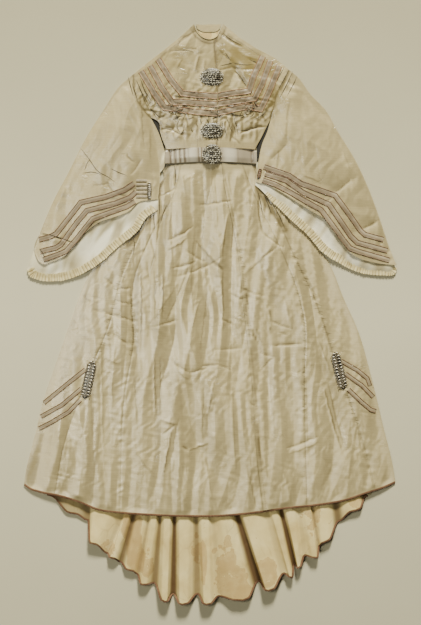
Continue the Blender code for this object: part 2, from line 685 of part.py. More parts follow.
def skirt_gores():
    """The six front gores, side by side, with the opening lapped, and the braid on their hem."""
    x, first = hem_stations()
    hem = np.column_stack([x, y_at(FRONT_HEM, x)])
    cut = offset_line(hem, BRAID_WIDTH + SEAM_GAP)
    rows = GORE_ROWS[:, None]
    made = {}
    for k, name in enumerate(GORE_NAMES):
        u = np.linspace(0, 1, GORE_COLUMNS[k] + 1)
        ends = cut[first[k]:first[k] + GORE_COLUMNS[k] + 1].copy()
        laps = k == OPENING_SEAM + 1
        if laps:
            ends[0] = (ends[0][0] - OPENING_LAP, np.interp(ends[0][0] - OPENING_LAP, *cut.T))
        y = WAIST_Y - SEAM_GAP + (ends[None, :, 1] - WAIST_Y + SEAM_GAP) * rows
        right = x_at(seam_line(k - 1), y)
        left = x_at(seam_line(k), y)
        x = (1 - u) * right + u * left
        x += (ends[:, 0] - x[-1])[None, :] * rows ** 3
        if laps:
            x[:, 0] -= OPENING_LAP * smooth(GORE_ROWS / OPENING_START) * (1 - GORE_ROWS ** 3)
        x[:, 0] += SEAM_GAP / 2 if k > 0 and not laps else 0.0
        x[0, 0] += SEAM_GAP / 2 if laps else 0.0
        x[:, -1] -= SEAM_GAP / 2 if k < len(GORE_NAMES) - 1 else 0.0

        def under(x, y, laps=laps):
            return skirt_front_under(x, y) + (lap_over_opening(x, y) if laps else 0.0)
        made[name] = cloth(name, np.dstack([x, y]), under, SILK, "silk_taffeta")
    low = np.maximum(skirt_front_under(*cut.T) - BRAID_DROP, SILK + LAYER_GAP)
    braid("hem_braid_front", hem, low)
    return made


def pleat_line(steps):
    """Where the pleats leave the front hem and where they meet the train hem, with heights."""
    rows = list(TRAIN_ENDS[:2])
    for row in PLEATS:
        rows += [row[:4], row[4:]]
    rows = np.array(rows + list(TRAIN_ENDS[2:]), float)
    t = np.linspace(0, len(rows) - 1, (len(rows) - 1) * steps + 1)
    low = np.clip(t.astype(int), 0, len(rows) - 2)
    part = (t - low)[:, None]
    step = rows[low + 1] - rows[low]
    line = rows[low] + step * part
    line[:, 2:] = (rows[low] + step * part * part * (3 - 2 * part))[:, 2:]
    return line, t


def train_rows(steps, shares):
    """Rows of the train from above the front hem to its own hem, with the height of the pleats.

    A share of 0 is the front hem and 1 the edge of the cloth; less than 0 is under the front.
    """
    line, t = pleat_line(steps)
    top_x, hem_x, hem_y, lift = line.T
    hem = np.column_stack([hem_x, hem_y])
    bound = (t > BOUND_FROM) & (t < t[-1] - BOUND_TO)
    cut = np.where(bound[:, None], offset_line(hem, BRAID_WIDTH + SEAM_GAP), hem)
    top_y = np.maximum(y_at(FRONT_HEM, top_x), cut[:, 1] + PLEAT_SHORTEST)
    ends = top_x[0], top_x[-1]
    rows = []
    for share in shares:
        if share < 0:
            y = top_y - share * PLEAT_FADE_Y
            right, left = x_at(SKIRT_EDGE["right"], y), x_at(SKIRT_EDGE["left"], y)
            x = right + (top_x - ends[0]) / (ends[1] - ends[0]) * (left - right)
            height = lift * PLEAT_AT_HEM * smooth(1 + share)
        else:
            x = top_x + (cut[:, 0] - top_x) * share
            y = top_y + (cut[:, 1] - top_y) * share
            height = lift * (PLEAT_AT_HEM + (1 - PLEAT_AT_HEM) * share)
        rows.append(np.column_stack([x, y, height]))
    return np.array(rows), hem, lift, bound


def lifted(rows, by):
    return [row + np.array([0.0, 0.0, by]) for row in rows]


def skirt_back():
    """The two back breadths, flat on the floor and pleated towards the train hem."""
    train, hem, lift, bound = train_rows(PLEAT_STEPS, PLEAT_ROWS)
    middle = train.shape[1] // 2
    for side in SIDES:
        part = train[:, :middle + 1] if side == "right" else train[:, middle:]
        part = part.copy()
        seam, edge = (-1, 0) if side == "right" else (0, -1)
        part[:, seam, 0] += -SEAM_GAP / 2 if side == "right" else SEAM_GAP / 2
        rows = []
        for v in BACK_ROWS:
            start = np.array([0.0, WAIST_Y - SEAM_GAP])
            middle_point = start + (part[0, seam, :2] - start) * v
            middle_point[0] = part[0, seam, 0] * v + (part[0, seam, 0] - train[0, middle, 0]) * (1 - v)
            edge_y = start[1] + (part[0, edge, 1] - start[1]) * v
            edge_point = np.array([float(x_at(SKIRT_EDGE[side], edge_y)), edge_y])
            ends = (edge_point, middle_point) if side == "right" else (middle_point, edge_point)
            row = np.linspace(*ends, BACK_COLUMNS + 1)
            rows.append(np.column_stack([row, waist_lift(row[:, 1])]))
        rows += list(part)
        between("skirt_back_" + side, rows, lifted(rows, SILK), "silk_taffeta")

    rows = [row[bound] for row in train[1:]]
    rows = lifted(rows, SILK + LAYER_GAP)
    between("train_lining", rows, lifted(rows, LINING), "cotton_lining")
    braid("hem_braid_train", hem[bound], lift[bound])


def braid(name, line, low):
    """A bound edge: a strip along a hem, just outside the cloth."""
    grid = np.stack([line, offset_line(line, BRAID_WIDTH)], axis=1)
    base = np.dstack([grid, np.repeat(low[:, None], 2, axis=1)])
    return between(name, base, lifted(base, BRAID_HEIGHT), "hem_braid")


def armscye_line(side):
    """The armhole seam, the same corners for the bodice and the sleeve."""
    return even(ARMSCYE[side], ARMSCYE_STEPS + 1)


def bodice():
    """Back, two fronts and their lapped closure."""
    up = {}
    for side, inward in (("right", 1.0), ("left", -1.0)):
        up[side] = joined(even(BODICE_SIDE[side][::-1], SIDE_STEPS + 1), armscye_line(side)[::-1])
        up[side][:, 0] += inward * SEAM_GAP / 2
    count = SIDE_STEPS + ARMSCYE_STEPS + 1
    shoulder = {s: even(SHOULDER[s], 5) for s in SIDES}

    top = joined(shoulder["right"][::-1], even(BACK_NECKLINE, 4), shoulder["left"])
    top[0], top[-1] = up["right"][-1], up["left"][-1]
    bottom = even([up["right"][0], up["left"][0]], len(top))
    grid = patch(bottom, top, up["right"], up["left"])
    made = {"bodice_back": cloth("bodice_back", grid, lambda x, y: waist_lift(y), SILK,
                                 "silk_taffeta")}

    neckline = through(FRONT_NECKLINE, np.linspace(0, 1, 200))
    front = neckline[:, 1] < 840
    closure_end = int(np.argmin(np.abs(neckline[:, 0] - CLOSURE_EDGE[-1][0]) + 1e3 * ~front))
    underlap_end = int(np.argmin(np.abs(neckline[:, 0] - UNDERLAP_X) + 1e3 * ~front))

    top = joined(shoulder["right"][::-1], even(neckline[:closure_end + 1], 6))
    closure = even(CLOSURE_EDGE, count)
    top[0], top[-1] = up["right"][-1], closure[-1]
    grid = patch(even([up["right"][0], closure[0]], len(top)), top, up["right"], closure)
    made["bodice_front_right"] = cloth("bodice_front_right", grid, lapped_under, SILK,
                                       "silk_taffeta")

    top = joined(even(neckline[underlap_end:], 6), shoulder["left"])
    top[-1] = up["left"][-1]
    underlap = even([(UNDERLAP_X, WAIST_Y), (UNDERLAP_X, 650), tuple(top[0])], count)
    grid = patch(even([underlap[0], up["left"][0]], len(top)), top, underlap, up["left"])
    made["bodice_front_left"] = cloth("bodice_front_left", grid, bodice_under, SILK, "silk_taffeta")
    return made


def lapped_under(x, y):
    """The right front rises over the left one towards the closure."""
    near = smooth((x - UNDERLAP_X + CLOSURE_RAMP + 4.0) / CLOSURE_RAMP)
    return bodice_under(x, y) + CLOSURE_LAP * near


def flat_on_back(x, y):
    return np.full(np.shape(x), SILK + LAYER_GAP)


def neck():
    """The standing band at the back of the neck and the lining that shows inside it."""
    for name, lower, upper, wall, finish in NECK_PIECES:
        lower, upper = even(lower, 7), even(upper, 7)
        grid = patch(lower, upper, even([lower[0], upper[0]], 3), even([lower[-1], upper[-1]], 3))
        cloth(name, grid, flat_on_back, wall, finish)


def sleeve_grid(side, outer, inner, hem, columns, rows):
    """Grid of a sleeve layer from the armhole seam to its hem."""
    outward = -1.0 if side == "right" else 1.0
    head = armscye_line(side)
    head[:, 0] += outward * SEAM_GAP / 2
    head = divided_evenly(head, columns // ARMSCYE_STEPS)
    outer, inner = even(outer, rows + 1), even(inner, rows + 1)
    hem = even(hem, columns + 1)
    outer[0], inner[0] = head[0], head[-1]
    hem[0], hem[-1] = outer[-1], inner[-1]
    return patch(head, hem, outer, inner)


def sleeve(side):
    """Back, lining and front of one wide sleeve, with the pleated ruche along its hem."""
    grid = sleeve_grid(side, SLEEVE_OUTER[side] + [SLEEVE_TIP[side]], SLEEVE_BACK_INNER[side],
                       SLEEVE_HEM[side], 10, SLEEVE_ROWS)
    cloth("sleeve_back_" + side, grid, sleeve_support, SILK, "silk_taffeta")

    def on_back(x, y):
        return sleeve_support(x, y) + SILK + LAYER_GAP
    lining = cloth("sleeve_lining_" + side, grid[LINING_ROW:], on_back, LINING, "sleeve_lining")

    grid = sleeve_grid(side, SLEEVE_OUTER[side] + [SLEEVE_FRONT_TIP[side]],
                       SLEEVE_FRONT_INNER[side], SLEEVE_FRONT_HEM[side], 15, SLEEVE_ROWS)
    front = cloth("sleeve_front_" + side, grid, sleeve_front_under(side), SILK, "silk_taffeta")
    ruche(side, Support(lining))
    return front


def ruche(side, support):
    """A pleated ribbon sewn along the sleeve hem, its pleats standing on edge."""
    count = 2 * RUCHE_PLEATS[side] + 1
    outer = even(even(SLEEVE_HEM[side], HEM_STEPS)[:RUCHE_END[side]], count)
    runs = np.gradient(outer, axis=0)
    runs /= np.linalg.norm(runs, axis=1)[:, None]
    inside = np.column_stack([-runs[:, 1], runs[:, 0]]) * (1.0 if side == "right" else -1.0)
    outer = outer + inside * RUCHE_INSET
    inner = outer + inside * RUCHE_WIDTH
    lower, upper = [], []
    for k in range(count):
        wave = RUCHE_HEIGHT if k % 2 else 0.0
        column_low, column_high = [], []
        for x, y in (outer[k], inner[k]):
            on_back = float(sleeve_support(x, y)) + SILK + LAYER_GAP + LINING
            z = max(support.height(x, y, RUCHE_REACH), on_back) + LAYER_GAP + wave
            column_low.append((x, y, z))
            column_high.append((x, y, z + RUCHE_WALL))
        lower.append(column_low)
        upper.append(column_high)
    between("sleeve_ruche_" + side, np.array(lower), np.array(upper), "ruche_ribbon")


def belt(fronts):
    """One closed band round the waist: over the front, round the sides and flat under the back."""
    support = Support(*fronts)
    sections = ([], [])
    for y in np.linspace(BELT_TOP_Y, BELT_TOP_Y - BELT_WIDTH, 4):
        sides = {}
        for side, away in (("right", -1.0), ("left", 1.0)):
            edges = [x_at(BODICE_SIDE[side], a) for a in (y, y - BELT_BOW)]
            edges += [x_at(SKIRT_EDGE[side], a) for a in (y, y - BELT_BOW)] + [WAIST_SIDE[side][0]]
            sides[side] = float(max(edges, key=abs)) + away * BELT_SIDE_GAP
        x = np.linspace(sides["right"], sides["left"], 15)
        bow = BELT_BOW * (x / sides["left"]) ** 2
        inside_x = np.clip(x, sides["right"] + BELT_INSIDE, sides["left"] - BELT_INSIDE)
        over = np.array([support.height(a, b, BELT_EASE) for a, b in zip(inside_x, y - bow)])
        over += 2 * TRIM_GAP
        for layer, wall in zip(sections, (0.0, BELT_WALL)):
            front = [[a, b, z + wall] for a, b, z in zip(x, y - bow, over)]
            front[0][0] -= wall
            front[-1][0] += wall
            back = [(front[-1][0], y - BELT_BOW, BELT_WALL - wall),
                    (front[0][0], y - BELT_BOW, BELT_WALL - wall)]
            layer.append(front + back)
    return between("belt", *sections, "belt_satin", closed=True)


def build():
    fronts = bodice()
    neck()
    gores = skirt_gores()
    skirt_back()
    on_bodice = Support(fronts["bodice_front_right"], fronts["bodice_front_left"])
    on_skirt = Support(*gores.values())
    for side in SIDES:
        front = Support(sleeve(side))
        for k, line in enumerate(SLEEVE_BANDS[side], 1):
            band(f"sleeve_band_{side}_{k}", line, BAND_WIDTH, front)
        tab("sleeve_tab_" + side, SLEEVE_TABS[side], SLEEVE_TAB_WIDTH[side], front)
        for k, line in enumerate(CHEST_BANDS[side], 1):
            band(f"chest_band_{side}_{k}", line, BAND_WIDTH, on_bodice)
        for k, line in enumerate(HIP_BANDS[side], 1):
            band(f"hip_band_{side}_{k}", line, HIP_BAND_WIDTH, on_skirt)
        tab("hip_tab_" + side, HIP_TABS[side], HIP_TAB_WIDTH, on_skirt)
    waist = belt(list(fronts.values()) + list(gores.values()))
    rosette("rosette_upper", on_bodice)
    rosette("rosette_lower", on_bodice)
    rosette("belt_ornament", Support(waist))


def finish_material(name):
    colour, roughness, metallic = FINISHES[name]
    material = bpy.data.materials.new(name)
    material.use_nodes = True
    shader = material.node_tree.nodes["Principled BSDF"]
    shader.inputs["Base Color"].default_value = (*colour, 1.0)
    shader.inputs["Roughness"].default_value = roughness
    shader.inputs["Metallic"].default_value = metallic
    return material


for old in list(bpy.data.objects):
    bpy.data.objects.remove(old, do_unlink=True)
FINISH_MATERIALS = {name: finish_material(name) for name in FINISHES}
build()
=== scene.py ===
"""Looks of the afternoon dress that lies flat on its back: fine cloth with its creases, the piped
bands, the corded ornaments, the pleated train and the finish of each.

Millimetres until a mesh is made, then metres. X runs across the dress, Y from the train hem up to
the neck, and Z up. "right" and "left" are the wearer's, so the right side has negative X.
"""
import math

import bpy
import numpy as np
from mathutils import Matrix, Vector
from mathutils.bvhtree import BVHTree


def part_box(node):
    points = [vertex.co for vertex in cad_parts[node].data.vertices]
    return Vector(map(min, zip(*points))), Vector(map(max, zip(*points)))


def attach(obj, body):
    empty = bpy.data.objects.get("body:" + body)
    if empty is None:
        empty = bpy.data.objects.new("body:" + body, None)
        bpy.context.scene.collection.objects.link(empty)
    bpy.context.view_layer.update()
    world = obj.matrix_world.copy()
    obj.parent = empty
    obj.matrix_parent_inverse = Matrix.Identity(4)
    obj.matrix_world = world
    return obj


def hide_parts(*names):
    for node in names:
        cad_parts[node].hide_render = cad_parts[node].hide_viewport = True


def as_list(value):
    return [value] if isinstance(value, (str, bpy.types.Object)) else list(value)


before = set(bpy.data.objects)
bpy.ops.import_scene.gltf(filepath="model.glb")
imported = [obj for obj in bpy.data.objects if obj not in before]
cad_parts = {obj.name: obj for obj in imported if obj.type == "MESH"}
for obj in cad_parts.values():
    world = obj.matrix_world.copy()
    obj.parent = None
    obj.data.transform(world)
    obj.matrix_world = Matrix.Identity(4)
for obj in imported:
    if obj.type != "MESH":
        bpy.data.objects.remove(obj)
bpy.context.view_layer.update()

MM = 0.001

SIDES = ("right", "left")
OUTWARD = {"right": -1.0, "left": 1.0}
# Thickness of the layers and the gaps between them
SILK = 1.4            # taffeta with its backing
LINING = 1.0          # white silk in the sleeves, cotton in the train
SEAM_GAP = 0.36       # across a seam, in the plane of the cloth
LAYER_GAP = 0.35      # between two layers that lie on each other
SLEEVE_GAP = 0.95     # between the lining and the front of a sleeve
TRIM_GAP = 0.40       # under a band or an ornament
LEAST_GAP = 0.3       # what a crease leaves at its deepest
# Heights of the main lines above the middle of the skirt
WAIST_Y = 474.0
BELT_LIFT = 2.0       # the back rises this much to pass over the belt
BELT_REACH = 28.0     # half the length over which it stays up
BELT_RUN = 45.0       # and the length over which it comes down
# Fullness: how high the cloth stands away from its folded edges
SKIRT_RISE_WAIST = 10.0
SKIRT_RISE_HEM = 16.0
SKIRT_RISE_RUN = 90.0
UPPER_RISE = 11.0
UPPER_RISE_RUN = 45.0
SLEEVE_CLEAR = 4.4    # the sleeves lie on the sides of the skirt
SLEEVE_RAMP = 55.0
SLEEVE_WAIST_RUN = 30.0   # and come down to the floor this far each side of the waist
SKIRT_CALM = 60.0     # the folds die away this near to the edges of the skirt
SKIRT_CALM_TOP = 40.0     # and this far below the waist
UPPER_CALM = 35.0     # likewise at the edges of the bodice and the sleeves
BODICE_CALM_Y = 520.0
BODICE_CALM_RUN = 30.0
FOLD_END_RUN = 12.0   # a fold fades out at its ends over this and most of its width
FOLD_END_SHARE = 0.8
# Outlines, as (x, y) in mm, smooth between the points
NECK = {"right": (-50, 869), "left": (38, 869)}
ARM_TOP = {"right": (-232, 718), "left": (236, 731)}
UNDERARM = {"right": (-180, 590), "left": (181, 586)}
WAIST_SIDE = {"right": (-122, WAIST_Y), "left": (128, WAIST_Y)}
SHOULDER = {
    "right": [NECK["right"], (-106, 817), (-166, 771), (-211, 735), ARM_TOP["right"]],
    "left": [NECK["left"], (88, 827), (142, 793), (208, 757), ARM_TOP["left"]],
}
ARMSCYE = {
    "right": [ARM_TOP["right"], (-229, 675), (-214, 630), UNDERARM["right"]],
    "left": [ARM_TOP["left"], (214, 688), (195, 645), UNDERARM["left"]],
}
BODICE_SIDE = {
    "right": [UNDERARM["right"], (-155, 575), (-151, 545), (-138, 508), WAIST_SIDE["right"]],
    "left": [UNDERARM["left"], (168, 560), (152, 528), (135, 496), WAIST_SIDE["left"]],
}
SLEEVE_OUTER = {
    "right": [ARM_TOP["right"], (-271, 684), (-320, 612), (-376, 522), (-425, 425), (-469, 342),
              (-507, 252), (-528, 192)],
    "left": [ARM_TOP["left"], (262, 709), (298, 660), (345, 610), (378, 552), (433, 462),
             (475, 372), (508, 282), (538, 192)],
}
SLEEVE_TIP = {"right": (-550, 132), "left": (559, 138)}
SLEEVE_FRONT_TIP = {"right": (-525, 178), "left": (556, 146)}
SLEEVE_FRONT_INNER = {
    "right": [UNDERARM["right"], (-174, 552), (-160, 492), (-151, 432), (-154, 372), (-157, 343)],
    "left": [UNDERARM["left"], (172, 552), (154, 507), (145, 462), (139, 426), (136, 395)],
}
SLEEVE_BACK_INNER = {
    "right": [UNDERARM["right"], (-157, 546), (-143, 507), (-134, 462), (-140, 437), (-153, 420),
              (-156, 390), (-157, 357), (-157, 312)],
    "left": [UNDERARM["left"], (171, 549), (153, 503), (144, 458), (137, 412), (134, 386)],
}
SLEEVE_FRONT_HEM = {
    "right": [SLEEVE_FRONT_TIP["right"], (-514, 158), (-500, 149), (-475, 156), (-440, 171),
              (-400, 211), (-367, 250), (-335, 273), (-283, 291), (-244, 307), (-211, 336),
              (-190, 340), (-157, 343)],
    "left": [SLEEVE_FRONT_TIP["left"], (496, 153), (447, 166), (417, 184), (397, 210), (364, 255),
             (339, 286), (310, 303), (271, 327), (217, 361), (170, 386), (136, 395)],
}
SLEEVE_HEM = {
    "right": [SLEEVE_TIP["right"], (-541, 114), (-517, 102), (-451, 99), (-385, 120), (-331, 153),
              (-271, 204), (-217, 249), (-190, 288), (-157, 312)],
    "left": [SLEEVE_TIP["left"], (553, 122), (508, 115), (448, 124), (388, 151), (331, 189),
             (292, 234), (238, 284), (187, 333), (154, 369), (134, 386)],
}
FRONT_NECKLINE = [NECK["right"], (-44, 852), (-34, 837), (-19, 826), (0, 822), (19, 831),
                  (27, 847), NECK["left"]]
BACK_NECKLINE = [NECK["right"], (-41, 853), (-28, 846), (0, 844), (20, 846), (30, 853),
                 NECK["left"]]
CLOSURE_EDGE = [(18, WAIST_Y), (19, 560), (22, 642), (19, 702), (16, 762), (12, 806), (19, 831)]
UNDERLAP_X = -16.0    # the left front runs on to here below the right one
CLOSURE_LAP = 1.9     # height of the right front over the left one
CLOSURE_RAMP = 45.0
CLOSURE_CLEAR = 4.0   # the ramp ends this far before the edge of the left front
ARMSCYE_STEPS = 5
LINING_TOP_Y = 625.0  # the front layers rise over it from here down
LINING_RUN = 80.0
SKIRT_EDGE = {
    "right": [WAIST_SIDE["right"], (-126, 440), (-200, 333), (-290, 215), (-356, 129), (-373, 99),
              (-418, -18), (-459, -138), (-501, -258), (-529, -378), (-550, -455), (-559, -513)],
    "left": [WAIST_SIDE["left"], (136, 438), (215, 330), (298, 226), (359, 144), (397, 51),
             (441, -48), (484, -198), (520, -348), (545, -450), (554, -506)],
}
FRONT_HEM = [(-559, -513), (-541, -525), (-511, -534), (-451, -546), (-391, -564), (-340, -585),
             (-271, -595), (-151, -603), (-31, -606), (58, -603), (133, -595), (223, -582),
             (313, -573), (403, -558), (463, -538), (523, -519), (554, -506)]
# Seams between the six front gores, from the waist to the hem, right side first
GORE_SEAMS = [
    [(-108, WAIST_Y), (-190, 285), (-277, 78), (-301, -24), (-346, -138), (-442, -408), (-466, -540)],
    [(-84, WAIST_Y), (-106, 372), (-180, 230), (-229, 102), (-232, -93), (-256, -235), (-272, -595)],
    [(30, WAIST_Y), (62, 330), (90, 190), (106, 42), (121, -93), (136, -243), (146, -408), (167, -591)],
    [(85, WAIST_Y), (135, 350), (205, 205), (259, 72), (277, -3), (281, -198), (284, -408),
     (288, -576)],
    [(112, WAIST_Y), (179, 333), (259, 156), (313, 42), (364, -108), (454, -378), (494, -528)],
]
OPENING_SEAM = 2      # the skirt opens here: the gore on its left side laps over
OPENING_LAP = 9.0
OPENING_RAMP = 45.0
OPENING_START = 0.1   # the lap is full from this share of the seam down
OPENING_HEIGHT = SILK + 1.3
FRONT_HEM_Y = -560.0  # mean height of the front hem
GORE_NAMES = ["skirt_side_front_right", "skirt_gore_right", "skirt_front_right",
              "skirt_front_left", "skirt_gore_left", "skirt_side_front_left"]
# Pleats of the train. A row is a crest and the valley on its left side: where each leaves the
# front hem (x), where it meets the train hem (x, y), and how high it stands there
# Columns: crest top x, crest x, y and height, valley top x, valley x, y and height
PLEATS = [
    (-421, -421, -597, 5, -366, -368, -619, 3),
    (-334, -361, -685, 20, -259, -310, -717, 6),
    (-249, -298, -730, 18, -229, -271, -744, 2),
    (-202, -241, -768, 13, -183, -220, -780, 6),
    (-169, -205, -810, 20, -150, -169, -807, 3),
    (-130, -136, -861, 25, -108, -112, -840, 1),
    (-82, -85, -869, 24, -42, -39, -840, 4),
    (-16, -13, -869, 24, 5, 25, -846, 9),
    (46, 97, -857, 20, 81, 144, -802, 0),
    (106, 172, -828, 25, 172, 220, -778, 9),
    (187, 244, -789, 18, 211, 252, -753, 0),
    (235, 262, -760, 22, 265, 283, -724, 8),
    (295, 319, -730, 18, 304, 327, -696, 5),
    (331, 340, -684, 16, 376, 385, -622, 2),
    (424, 439, -588, 12, 463, 466, -549, 0),
]
TRAIN_ENDS = [(-559, -559, -513, 0), (-505, -508, -539, 1), (520, 522, -519, 0), (554, 554, -506, 0)]
BOUND_FROM = 1.2      # the braid runs between these stations, counted from each end
BOUND_TO = 1.8
PLEAT_FADE_Y = 170.0  # above the front hem the pleats lie flat
PLEAT_AT_HEM = 0.45   # share of their height where the front hem lies on them
PLEAT_SHORTEST = 8.0  # least length of cloth between the two hems
# Long soft folds of the laid cloth. Columns: x and y of one end, x and y of the other, half width,
# height (minus for a trough)
SKIRT_FOLDS = [
    (-104, 440, -110, 380, 9, -3.0), (-145, 300, -178, 120, 16, -3.5),
    (-112, 400, -128, 225, 12, 3.0), (53, 300, 36, 155, 12, 3.0),
    (-60, 400, -150, -30, 26, 4.0), (12, 380, 20, -120, 30, 3.5),
    (-232, 110, -226, -110, 13, -4.0), (-172, -60, -168, -420, 16, -3.0),
    (-95, -150, -75, -540, 28, 3.5), (30, -180, 40, -540, 30, 3.0),
    (140, 160, 190, 20, 20, -3.5), (215, -120, 215, -540, 24, 3.5),
    (-345, -60, -335, -520, 24, 3.0), (345, -180, 395, -400, 18, -3.0),
    (-400, -160, -470, -440, 22, 2.5), (440, -200, 490, -420, 20, 2.5),
]
BODICE_FOLDS = [
    (-122, 786, -40, 792, 9, 2.0), (26, 857, 92, 802, 10, -2.0), (28, 790, 84, 744, 10, 2.2),
    (78, 725, 134, 640, 9, -2.5), (-170, 552, -85, 556, 8, -3.0), (88, 545, 172, 566, 8, -2.2),
    (40, 585, 62, 500, 10, 2.2), (-70, 560, -58, 500, 12, 1.6),
    (-95, 660, -95, 610, 70, 5.0), (115, 660, 115, 610, 70, 5.0),
]
SLEEVE_FOLDS = {
    "right": [(-205, 640, -190, 470, 26, 3.0), (-255, 660, -330, 430, 34, 3.5),
              (-300, 560, -440, 330, 26, -2.0), (-482, 230, -404, 210, 12, 2.0),
              (-235, 480, -270, 370, 24, 2.5)],
    "left": [(238, 640, 224, 510, 26, 3.0), (222, 500, 178, 430, 18, -3.0),
             (262, 660, 340, 430, 34, 3.5), (372, 366, 420, 402, 12, -2.0),
             (448, 252, 505, 282, 14, -2.0)],
}
# Trimming bands, as the (x, y) of the middle of each, with their mitred corners
SLEEVE_BANDS = {
    "right": [
        [(-229, 391), (-256, 372), (-313, 351), (-388, 334), (-410, 306), (-462, 240), (-481, 231),
         (-514, 223)],
        [(-223, 366), (-241, 349), (-283, 332), (-370, 309), (-400, 274), (-448, 208), (-462, 199),
         (-510, 187)],
        [(-226, 337), (-250, 322), (-301, 304), (-352, 285), (-379, 252), (-406, 218), (-433, 188),
         (-457, 178), (-500, 163)],
    ],
    "left": [
        [(160, 441), (235, 415), (271, 391), (373, 355), (414, 300), (450, 249), (462, 238),
         (518, 223)],
        [(163, 420), (225, 401), (277, 364), (355, 328), (381, 290), (420, 233), (440, 214),
         (530, 190)],
        [(156, 401), (193, 388), (238, 365), (298, 330), (331, 312), (374, 254), (398, 221),
         (418, 197), (448, 186), (536, 161)],
    ],
}
CHEST_BANDS = {
    "right": [
        [(-157, 764), (-118, 700), (-85, 660), (-40, 655), (12, 651)],
        [(-181, 744), (-146, 678), (-115, 634), (-82, 634), (-40, 631), (12, 627)],
        [(-208, 728), (-168, 660), (-137, 618), (-82, 610), (-40, 604), (12, 600)],
    ],
    "left": [
        [(157, 773), (130, 715), (115, 668), (103, 665), (60, 660), (28, 653)],
        [(179, 759), (155, 690), (132, 645), (103, 640), (60, 634), (28, 629)],
        [(206, 743), (174, 662), (150, 614), (103, 620), (60, 610), (28, 602)],
    ],
}
HIP_BANDS = {
    "right": [
        [(-382, -172), (-424, -205), (-499, -266)],
        [(-395, -230), (-445, -272), (-508, -307)],
        [(-397, -264), (-424, -292), (-475, -323), (-514, -343)],
    ],
    "left": [
        [(400, -145), (440, -168), (470, -192), (478, -214)],
        [(412, -184), (453, -213), (488, -248)],
        [(420, -232), (453, -264), (480, -286), (496, -291)],
    ],
}
HIP_TABS = {"right": ((-352, -140), (-377, -254)), "left": ((371, -114), (399, -226))}
HIP_TAB_WIDTH = 31.0
SLEEVE_TABS = {"right": ((-183, 394), (-183, 342)), "left": ((150, 436), (143, 404))}
SLEEVE_TAB_WIDTH = {"right": 14.0, "left": 12.0}
RUCHE_WIDTH = 16.0
RUCHE_PLEATS = {"right": 54, "left": 58}
RUCHE_HEIGHT = 2.6
RUCHE_INSET = 1.5     # from the edge of the sleeve
HEM_STEPS = 300
RUCHE_END = {"right": 296, "left": 278}   # of these steps along the hem, from the sleeve's tip
BRAID_WIDTH = 4.4
BRAID_HEIGHT = 2.6
BRAID_SPREAD = 1.5    # how far the braid laps over the hem, in half widths

# Fineness of the meshes, and how strongly the silk is creased and shaded
CELL_ACROSS = 3.9     # mesh cells of the skirt
CELL_ALONG = 3.6
BODICE_LOW_ROWS = 44  # from the waist to the underarm
BODICE_HIGH_ROWS = 14  # in each step of the armhole
SLEEVE_ROWS = 144
SLEEVE_COLUMNS = 100  # a multiple of ARMSCYE_STEPS
LINING_ROWS = 110
LINING_FROM = 4 / 11  # the sleeve lining starts at this share of the sleeve
TRAIN_STEPS = 10      # columns between a crest of the train and its valley
CREST_REACH = 26      # the highest crest within this many columns sets how deep a valley looks
TRAIN_SHARES = np.concatenate([[-1.0, -0.5], np.linspace(-0.2, 1.0, 44)])
BACK_SHARES = (0.0, 0.03, 0.08, 0.2, 0.36, 0.52, 0.68, 0.84)
BRAID_SIDES = 8
SHARP_ANGLE = 55      # an edge steeper than this, in degrees, stays sharp
CRUSH = 1.5           # how hard the silk is creased
# Painted sheen and shade: the silk's colour is lighter where a facet slopes towards the lamps and darker
# where it slopes away
PAINTED_SHEEN = 0.44           # how much lighter the silk looks where it slopes by STEEP or more
STEEP = 0.12
PAINTED_SHEEN_SHIFT = 0.04
TONE_STEP = 1.5       # the slope is measured over this much to each side
LATTICE = 64          # the random waves repeat after this many cells
RIDGES = ((0.10, 1.0), (-0.45, 1.5), (0.95, 1.9))   # turn of the ridges in radians, and their size
SKIRT_CRUMPLES = ((1.5, 96.0, 300.0, 3), (0.50, 38.0, 130.0, 12), (0.09, 18.0, 15.0, 21))
SLEEVE_CRUMPLES = ((0.7, 110.0, 170.0, 0), (0.16, 26.0, 26.0, 22))
DRIFT = 1.7           # how far a crease strays from its line
DRIFT_CELL = 11.0
CREASE_END = 3.5      # a sharp crease dies away over this beyond its end
SKIRT_CRUSH_CALM = 26.0   # the crushing dies away this near to the sides of the skirt
WAIST_CRUSH_CALM = (38.0, 30.0)   # this far below the waist, and over this much
HEM_CRUSH_CALM = 22.0
UPPER_CRUSH_CALM = 16.0   # and this near to the edges of the bodice and the sleeves
RUFFLED_Y = 615.0     # the chest is most ruffled here, and over this much
RUFFLED_RUN = 48.0
SEAM_PUCKER = 16.0    # reach of the small puckers beside a seam
SEAM_SHADE = 3.5      # width of the dark line at the armholes and the closure
BELT_LOW_Y = 453.0
CHEST_BAND_WIDTH = 19.0
CUFF_BAND_WIDTH = 16.5
HIP_SATIN_WIDTH = 13.5
SKIRT_BULGE = 13.0    # the skirt's right edge reaches the sleeve just below the belt
SKIRT_BULGE_Y = 432.0
SKIRT_BULGE_RUN = 16.0
SKIRT_LENGTH = 1075.0  # longest seam of the front, from waist to hem
PLEAT_STATIONS = 9    # mesh stations in each small pleat of the ribbon
RIBBON_STATIONS = 7   # and across it
RIBBON_WALL = 0.8
RIBBON_SPREAD = 5.0   # the pleated ribbon spreads this much into the sleeve

